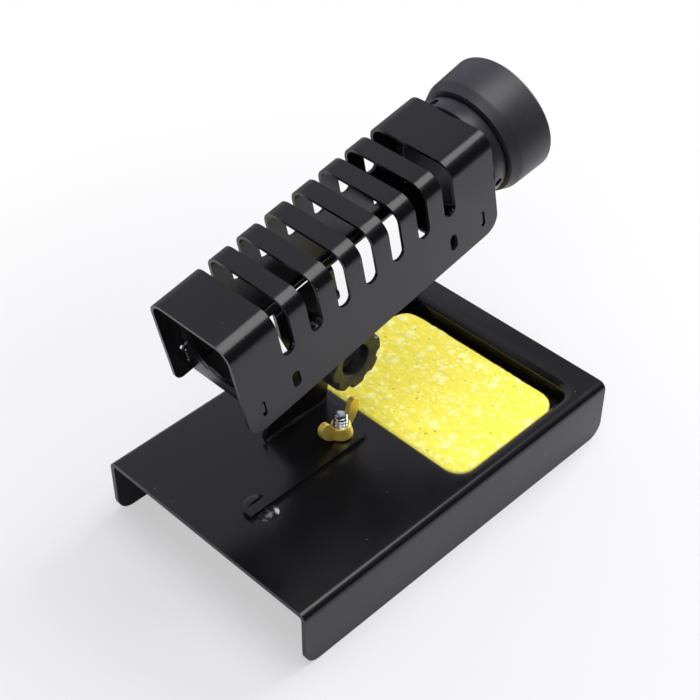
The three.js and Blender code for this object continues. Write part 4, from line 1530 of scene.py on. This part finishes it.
@dataclass
class HolderCage:
    """Slotted channel of the holder, with a lip on its far wall."""

    frame: HolderFrame
    width: float = 36.0
    height: float = 39.8
    sheet: float = 1.2
    bend: float = 6.0
    corner: float = 6.0
    edge: float = 0.28
    slots: int = 7
    slot_pitch: float = 12.0
    slot_width: float = 5.2
    slot_bottom: float = 21.0
    lip_bend: float = 1.6
    lip_width: float = 3.8
    lip_margin: float = 10.0
    relief: float = 1.8
    far_corner: float = 3.0
    notch: tuple[Point, float] = ((47.1, 59.9), 20.3)
    wall_hole: Place = (3.3, 6.7, 9.0)
    tab_slit: Place = (1.8, 6.4, 8.3)
    slit_corner: float = 0.8
    ring_inset: float = 6.9
    key_hole: tuple[Point, Point] = ((5.4, 13.0), (1.3, 2.6))

    def _cut_slots(self, cage: Piece) -> None:
        """Cuts the row of cooling slots through the top and both walls.

        Args:
            cage: the folded cage, in the holder's own frame and in metres.
        """
        recipe = Recipe("cooling slots")
        count, pitch, first, width, bottom, height, across, side = recipe.sizes({
            "Slots": self.slots,
            "Pitch": self.slot_pitch * MM,
            "First slot": (self.frame.length / 2 - (self.slots - 1) / 2 * self.slot_pitch) * MM,
            "Width": self.slot_width * MM,
            "Bottom": self.slot_bottom * MM,
            "Height": (self.height + 5 - self.slot_bottom) * MM,
            "Across": (self.width + 8) * MM,
            "Middle of the width": self.frame.centre_y * MM,
        })
        end_height = bottom + width * 0.5
        end = recipe.moved(
            recipe.rod(32, width * 0.5, across), recipe.vector(0.0, side, end_height), (math.pi / 2, 0, 0)
        )
        block = recipe.block(recipe.vector(width, across, height))
        raised = recipe.moved(block, recipe.vector(0.0, side, end_height + height * 0.5))
        cutter = recipe.combine("UNION", end, raised)
        row = recipe.copies(cutter, count, recipe.vector(first), recipe.vector(pitch))
        recipe.apply(cage, recipe.combine("DIFFERENCE", recipe.geometry, row), PAINT)

    def build(self) -> None:
        """Cuts the blank, folds it, cuts the slots and sets it at its tilt."""
        half = self.width / 2 - self.bend
        top = Bend(half, self.bend, steps=10)

        def down(height: float) -> float:
            """Distance along the sheet for a height on either wall."""
            return half + top.length + self.height - self.bend - height

        lip = Bend(down(self.lip_bend), self.lip_bend)
        lip_flat = lip.start + lip.length
        lip_end = lip_flat + self.lip_width - self.lip_bend
        back = self.frame.centre_y + self.width / 2
        (notch_from, notch_to), notch_y = self.notch
        notch_across = lip_flat + back - self.lip_bend - notch_y
        low, r, long = down(0), self.corner, self.frame.length
        far_low, fr, m = down(self.relief), self.far_corner, self.lip_margin
        outline = [
            *rounded((0, -low), r, 180), *rounded((long, -low), r, 270),
            *rounded((long, far_low), fr, 0, 8), (long - m, far_low), (long - m, lip_end),
            (notch_to, lip_end), (notch_to, notch_across), (notch_from, notch_across),
            (notch_from, lip_end), (m, lip_end), (m, far_low), *rounded((0, far_low), fr, 90, 8),
        ]
        holes = []
        span = (self.slots - 1) / 2 * self.slot_pitch
        for side in (-1, 1):
            width, height, middle = self.wall_hole
            for x in (long / 2 - span, long / 2 + span):
                holes.append(obround((x, side * down(middle)), width, height))
            width, height, middle = self.tab_slit
            for x in (self.ring_inset, long - self.ring_inset):
                slit = (x, side * down(middle)), (width, height)
                holes.append(rounded_rectangle(*slit, self.slit_corner, 5))
        (x, z), (width, height) = self.key_hole
        holes.append(obround((x, down(z)), width, height))
        place = Matrix.Translation((0, self.frame.centre_y, self.height))
        sheet = Sheet(self.sheet, outline, holes, ahead=[top, lip], behind=[top])
        cage = sheet.fold().object("slotted_cage", PAINT, place)
        self._cut_slots(cage)
        cage.data.shade_smooth()
        round_edges(cage, self.edge)
        cage.data.transform(self.frame.place_metres)
        mount(cage, Body.HOLDER, "holder_cage")


@dataclass
class RingPlate:
    """Notched ring plate with two tabs and a flange, at one end of the cage."""

    frame: HolderFrame
    end: HolderEnd
    node: str
    half_width: float = 16.5
    low: float = 1.5
    high: float = 38.3
    corner: float = 3.8
    sheet: float = 1.2
    bend: float = 1.9
    flange: float = 11.3
    tab: Point = (6.3, 10.3)
    tab_reach: float = 17.5
    hole: float = 14.3
    notch_radius: float = 15.9
    notch_angle: float = 26.0
    notches: int = 4
    notch_turn: float = -4.5
    inset: float = 6.9

    def _opening(self) -> list[Point]:
        """The hole with its notches, as (across, height) points."""
        points: list[Point] = []
        pitch, middle = 360 / self.notches, (0.0, self.frame.axis_height)
        for k in range(self.notches):
            start = self.notch_turn * self.end.value + k * pitch + (pitch - self.notch_angle) / 2
            points += arc(middle, self.hole, start - pitch + self.notch_angle, start, 12)
            points += arc(middle, self.notch_radius, start, start + self.notch_angle, 7)
        return points

    def build(self) -> None:
        """Cuts and folds the plate, and stands it in the cage."""
        bend = Bend(self.high - self.low - self.bend, self.bend)
        end = bend.start + bend.length + self.flange + self.sheet - self.bend
        w, t = self.half_width, self.tab_reach
        first, second = self.high - self.tab[1], self.high - self.tab[0]
        outline = [
            *rounded((-w, 0), self.corner, 180, 8), *rounded((w, 0), self.corner, 270, 8),
            (w, first), (t, first), (t, second), (w, second), (w, end),
            (-w, end), (-w, second), (-t, second), (-t, first), (-w, first),
        ]
        opening = [(x, self.high - z) for x, z in self._opening()]
        side, half = self.end.value, self.sheet / 2
        # drawn: x across the plate, y down it, z towards the end of the cage
        stand = Matrix(((0, 0, -side), (side, 0, 0), (0, -1, 0))).to_4x4()
        x = self.inset - half if side > 0 else self.frame.length - self.inset + half
        shift = Matrix.Translation((x, self.frame.centre_y, self.high))
        Sheet(self.sheet, outline, [opening], ahead=[bend]).fold().piece(
            f"{self.end.name.lower()}_ring_plate", self.node, Body.HOLDER, PAINT,
            self.frame.place @ shift @ stand, round_mm=0.2,
        )


@dataclass
class PivotLug:
    """Plate that carries the holder on the pivot."""

    frame: HolderFrame
    sheet: float = 1.6
    front: float = 18.4
    width: float = 27.0
    head_radius: float = 11.0
    shoulder: float = -12.0
    hole: float = 6.7
    fold_line: float = 40.0
    tab_width: float = 11.6
    tab_length: float = 12.4
    tab_top: float = 1.4
    tab_corner: float = 2.0
    tab_overlap: float = 6.0
    slit: float = 0.6
    bend: float = 0.8
    flange_top: float = -0.3
    flange_back: float = 21.9
    flange_corner: float = 0.6

    def build(self) -> None:
        """Folds the plate with its two outer flanges, and the middle tab on its own."""
        x, z = self.frame.pivot_along, -self.frame.pivot_below
        left, right = x - self.width / 2, x + self.width / 2
        gap = self.tab_width / 2 + self.slit
        back, outer = self.front + self.sheet, self.bend + self.sheet
        fold = self.fold_line
        bend = Bend(fold, outer)
        # the flanges fold away from the bracket: the blank's face looks to -Y
        low, base = (fold - (self.flange_top - outer - height) for height in (z, self.shoulder))
        touch = tangent_angles((left, base), (x, low), self.head_radius)[1]
        outline = [(left, base), *arc((x, low), self.head_radius, touch, 540 - touch, 24), (right, base)]
        far = fold + bend.length + (self.flange_back - back - self.bend)
        for a, b in ((x + gap, right), (left, x - gap)):
            outline += [(b, fold - 1.0), *rounded((b, far), self.flange_corner, 0, 5)]
            outline += [*rounded((a, far), self.flange_corner, 90, 5), (a, fold - 1.0)]
        up = Matrix(((1, 0, 0), (0, 0, -1), (0, 1, 0))).to_4x4()
        place = Matrix.Translation((0, self.front, self.flange_top - outer - fold)) @ up
        hole = circle((x, low), self.hole / 2)
        Sheet(self.sheet, outline, [hole], ahead=[bend]).fold().shift(place).piece(
            "folded_pivot_lug", "pivot_lug", Body.HOLDER, PAINT, self.frame.place, round_mm=0.25
        )
        # the middle tab folds over the bracket: drawn from the back face
        a, b = x - self.tab_width / 2, x + self.tab_width / 2
        root, far = fold - self.tab_overlap, fold + bend.length + self.tab_length - self.bend
        outline = [
            (b, root), *rounded((b, far), self.tab_corner, 0, 6), *rounded((a, far), self.tab_corner, 90, 6),
            (a, root),
        ]
        over = Matrix(((1, 0, 0), (0, 0, 1), (0, 1, 0))).to_4x4()
        place = Matrix.Translation((0, back, self.tab_top - outer - fold)) @ over
        Sheet(self.sheet, outline, ahead=[bend]).fold().piece(
            "folded_middle_tab", "pivot_lug", Body.HOLDER, PAINT, self.frame.place @ place, round_mm=0.25
        )


@dataclass
class Funnel:
    """Plastic neck and mouth in which the iron's handle rests."""

    frame: HolderFrame
    bore_radius: float = 12.5
    neck_start: float = 103.8
    spigot_radius: float = 14.0
    ring_face: float = 108.0
    inside_cage: float = 15.9
    collar_start: float = 114.05
    neck_radius: float = 18.3
    collar_end: float = 119.9
    groove_radius: float = 16.9
    seat_end: float = 124.1
    lugs: int = 4
    lug_radius: float = 15.6
    lug_angle: float = 22.0
    lug_thickness: float = 2.4
    vents: int = 3
    vent_start: float = 64.0
    vent_step: float = 131.0
    vent_diameter: float = 3.3
    vent_along: float = 116.1
    vent_inside: float = 8.0
    bell_start: float = 120.8
    bell_back: float = 19.6
    bell_shoulder: float = 21.05
    bell_rim: float = 21.65
    bell_end: float = 138.8
    mouth_radius: float = 20.0

    def _drill_vents(self, neck: Piece) -> None:
        """Drills the vent holes round the neck.

        Args:
            neck: the neck, in the holder's own frame and in metres.
        """
        recipe = Recipe("vent holes")
        count, first, step, radius, reach = recipe.sizes({
            "Holes": self.vents,
            "First angle": math.radians(self.vent_start),
            "Angle between holes": math.radians(self.vent_step),
            "Hole radius": self.vent_diameter / 2 * MM,
            "Reach": (self.neck_radius + 3) * MM,
        })
        inside = self.vent_inside * MM
        drill = recipe.moved(
            recipe.rod(24, radius, reach - inside), recipe.vector(0.0, (reach + inside) * 0.5),
            (-math.pi / 2, 0, 0),
        )
        middle = (self.vent_along * MM, self.frame.centre_y * MM, self.frame.axis_height * MM)
        turn = recipe.vector(first + recipe.node("GeometryNodeInputIndex") * step)
        drills = recipe.copies(drill, count, middle, turn=turn)
        recipe.apply(neck, recipe.combine("DIFFERENCE", recipe.geometry, drills), NECK_PLASTIC)

    def _neck(self) -> None:
        """Turns the neck, drills its vents and adds its bayonet lugs."""
        b, n, e, start = self.bore_radius, self.neck_radius, self.collar_end, self.neck_start
        spigot, inside, groove = self.spigot_radius, self.inside_cage, self.groove_radius
        neck = turned_piece([
            (b, start + 0.3), (b + 0.3, start), (spigot - 0.2, start), (spigot, start + 0.2),
            (spigot, self.ring_face), (inside - 0.2, self.ring_face), (inside, self.ring_face + 0.2),
            (inside, self.collar_start), (n - 0.12, self.collar_start), (n, self.collar_start + 0.12),
            (n, e - 0.6), (n - 0.15, e - 0.25), (n - 0.6, e), (groove + 0.2, e), (groove, e + 0.2),
            (groove, self.seat_end), (b, self.seat_end),
        ], 128).object("vented_neck", NECK_PLASTIC, self.frame.axis)
        self._drill_vents(neck)
        neck.data.shade_smooth()
        neck.data.set_sharp_from_angle(angle=math.radians(40))
        neck.data.transform(self.frame.place_metres)
        mount(neck, Body.HOLDER, "funnel_neck")
        lugs, half = Draft(), self.lug_angle / 2
        for middle in (360 / self.lugs * k for k in range(self.lugs)):
            outer = arc((0, 0), self.lug_radius, middle - half, middle + half, 8)
            inner = arc((0, 0), spigot - 0.5, middle + half, middle - half, 8)
            lugs.loft([[(x, y, h) for x, y in outer + inner] for h in (start, start + self.lug_thickness)])
        lugs.piece(
            "bayonet_lugs", "funnel_neck", Body.HOLDER, NECK_PLASTIC, self.frame.place @ self.frame.axis,
            round_mm=0.2,
        )

    def _bell(self) -> None:
        """Turns the mouth of the funnel."""
        s, e, m, rim = self.bell_start, self.bell_end, self.mouth_radius, self.bell_rim
        back, shoulder, bore = self.bell_back, self.bell_shoulder, self.bore_radius
        socket = self.groove_radius + 0.3
        turned_piece([
            (socket, s + 0.3), (socket + 0.3, s), (back - 0.25, s), (back - 0.07, s + 0.07),
            (back, s + 0.25), (shoulder - 0.35, s + 2.9), (shoulder - 0.06, s + 3.5),
            (shoulder + 0.05, s + 4.3), *arc((rim - 1, e - 1), 1, 0, 90, 6), (m + 0.3, e - 0.05),
            (m, e - 0.3), (m - 0.12, e - 0.9), (m - 0.6, e - 2.4), (m - 1.6, e - 5.1), (m - 2.8, e - 7.4),
            (m - 4.3, e - 9.6), (m - 6.0, e - 12.0), (bore + 0.6, s + 4.3), (bore + 0.1, s + 3.9),
            (bore, s + 3.6), (socket, s + 3.6),
        ], 160).piece(
            "funnel_mouth", "funnel_bell", Body.HOLDER, BELL_PLASTIC, self.frame.place @ self.frame.axis,
            smooth_angle=35,
        )

    def build(self) -> None:
        """Makes the neck and the mouth."""
        self._neck()
        self._bell()


# ---- bench, light and camera


def hang(name: str, data: bpy.types.ID, place: Place, look: Vector) -> bpy.types.Object:
    """Hangs a lamp or the camera.

    Args:
        name: the object's name.
        data: the lamp or the camera.
        place: where it hangs.
        look: which way it looks.

    Returns:
        The object.
    """
    obj = bpy.data.objects.new(name, data)
    obj.location = place
    obj.rotation_euler = look.to_track_quat("-Z", "Y").to_euler()
    bpy.context.scene.collection.objects.link(obj)
    return obj


@dataclass(frozen=True)
class Softbox:
    """A square lamp that looks at the stand."""

    name: str
    place: Place
    size: float
    power: float

    def build(self, target: Place) -> None:
        """Hangs the lamp.

        Args:
            target: what it points at.
        """
        lamp = bpy.data.lights.new(self.name, "AREA")
        lamp.shape = "SQUARE"
        lamp.size = self.size
        lamp.energy = self.power
        hang(self.name, lamp, self.place, Vector(target) - Vector(self.place))


@dataclass
class Studio:
    """Pale bench, soft light and the camera."""

    softboxes: tuple[Softbox, ...] = (
        Softbox("overhead softbox", (0.12, -0.12, 0.92), 0.66, 5.4),
        Softbox("side softbox", (1.1, -0.02, 0.42), 0.7, 15.0),
        Softbox("fill softbox", (-0.75, -0.45, 0.75), 0.6, 2.8),
    )
    target: Place = (0.0, 0.0, 0.04)
    fill: float = 0.6
    dim: float = 0.32
    dark: float = 0.06
    tint: Place = (0.92, 0.91, 1.04)
    overhead_span: Point = (0.5, 0.8)
    back_span: Point = (0.46, 0.6)
    back_lean: float = 0.1
    bench_reach: float = 3000.0
    camera_place: Place = (-0.2754, -0.2671, 0.3965)
    camera_look: Place = (0.531, 0.529, -0.662)
    lens: float = 78.47

    def _world(self) -> None:
        """A white room that lights softly and shows white."""
        world = bpy.data.worlds.new("white room")
        world.use_nodes = True
        bpy.context.scene.world = world
        graph = Graph(world.node_tree)
        _, y, z = graph.parts(graph.node("ShaderNodeTexCoord", output="Generated"))
        front = graph.ramp(z, *self.overhead_span) * (self.dim - self.dark) + self.dark
        back = graph.ramp(y + z * self.back_lean, *self.back_span)
        light = front + back * (self.fill - front)
        seen = graph.node("ShaderNodeLightPath", output="Is Camera Ray")
        room = graph.found("BACKGROUND")
        graph.feed(room.inputs["Strength"], light + seen * (1 - light))
        graph.feed(room.inputs["Color"], graph.blend(seen, (*self.tint, 1), (1, 1, 1, 1)))

    def _bench(self) -> None:
        """A white bench top that keeps the stand's soft shadow."""
        draft, r = Draft(), self.bench_reach
        draft.cap(draft.ring([(-r, -r, 0), (r, -r, 0), (r, r, 0), (-r, r, 0)]))
        draft.object("bench", BENCH)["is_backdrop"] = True

    def _camera(self) -> None:
        """Stands the camera where the stand is looked at from above its near corner."""
        data = bpy.data.cameras.new("camera")
        data.lens = self.lens
        data.sensor_width = 36
        data.clip_start, data.clip_end = 0.01, 20
        camera = hang("camera", data, self.camera_place, Vector(self.camera_look))
        bpy.context.scene.camera = camera

    def build(self) -> None:
        """Sets up the room, the bench, the lamps and the camera."""
        bpy.context.scene.view_settings.view_transform = "Standard"
        self._world()
        self._bench()
        for softbox in self.softboxes:
            softbox.build(self.target)
        self._camera()


# ---- the whole stand


def main() -> None:
    """Loads the frame and builds the stand from the bench up."""
    logging.basicConfig(level=logging.INFO, format="%(name)s: %(message)s")
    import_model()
    solids = tuple(corner.copy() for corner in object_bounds())
    frame = HolderFrame()
    parts = [
        Base(),
        CleaningSponge(),
        Bracket(),
        Clamp(),
        Pivot(),
        HolderCage(frame),
        RingPlate(frame, HolderEnd.NEAR, "front_ring"),
        RingPlate(frame, HolderEnd.FUNNEL, "rear_ring"),
        PivotLug(frame),
        Funnel(frame),
        Studio(),
    ]
    for part in parts:
        part.build()


if __name__ == "__main__":
    main()
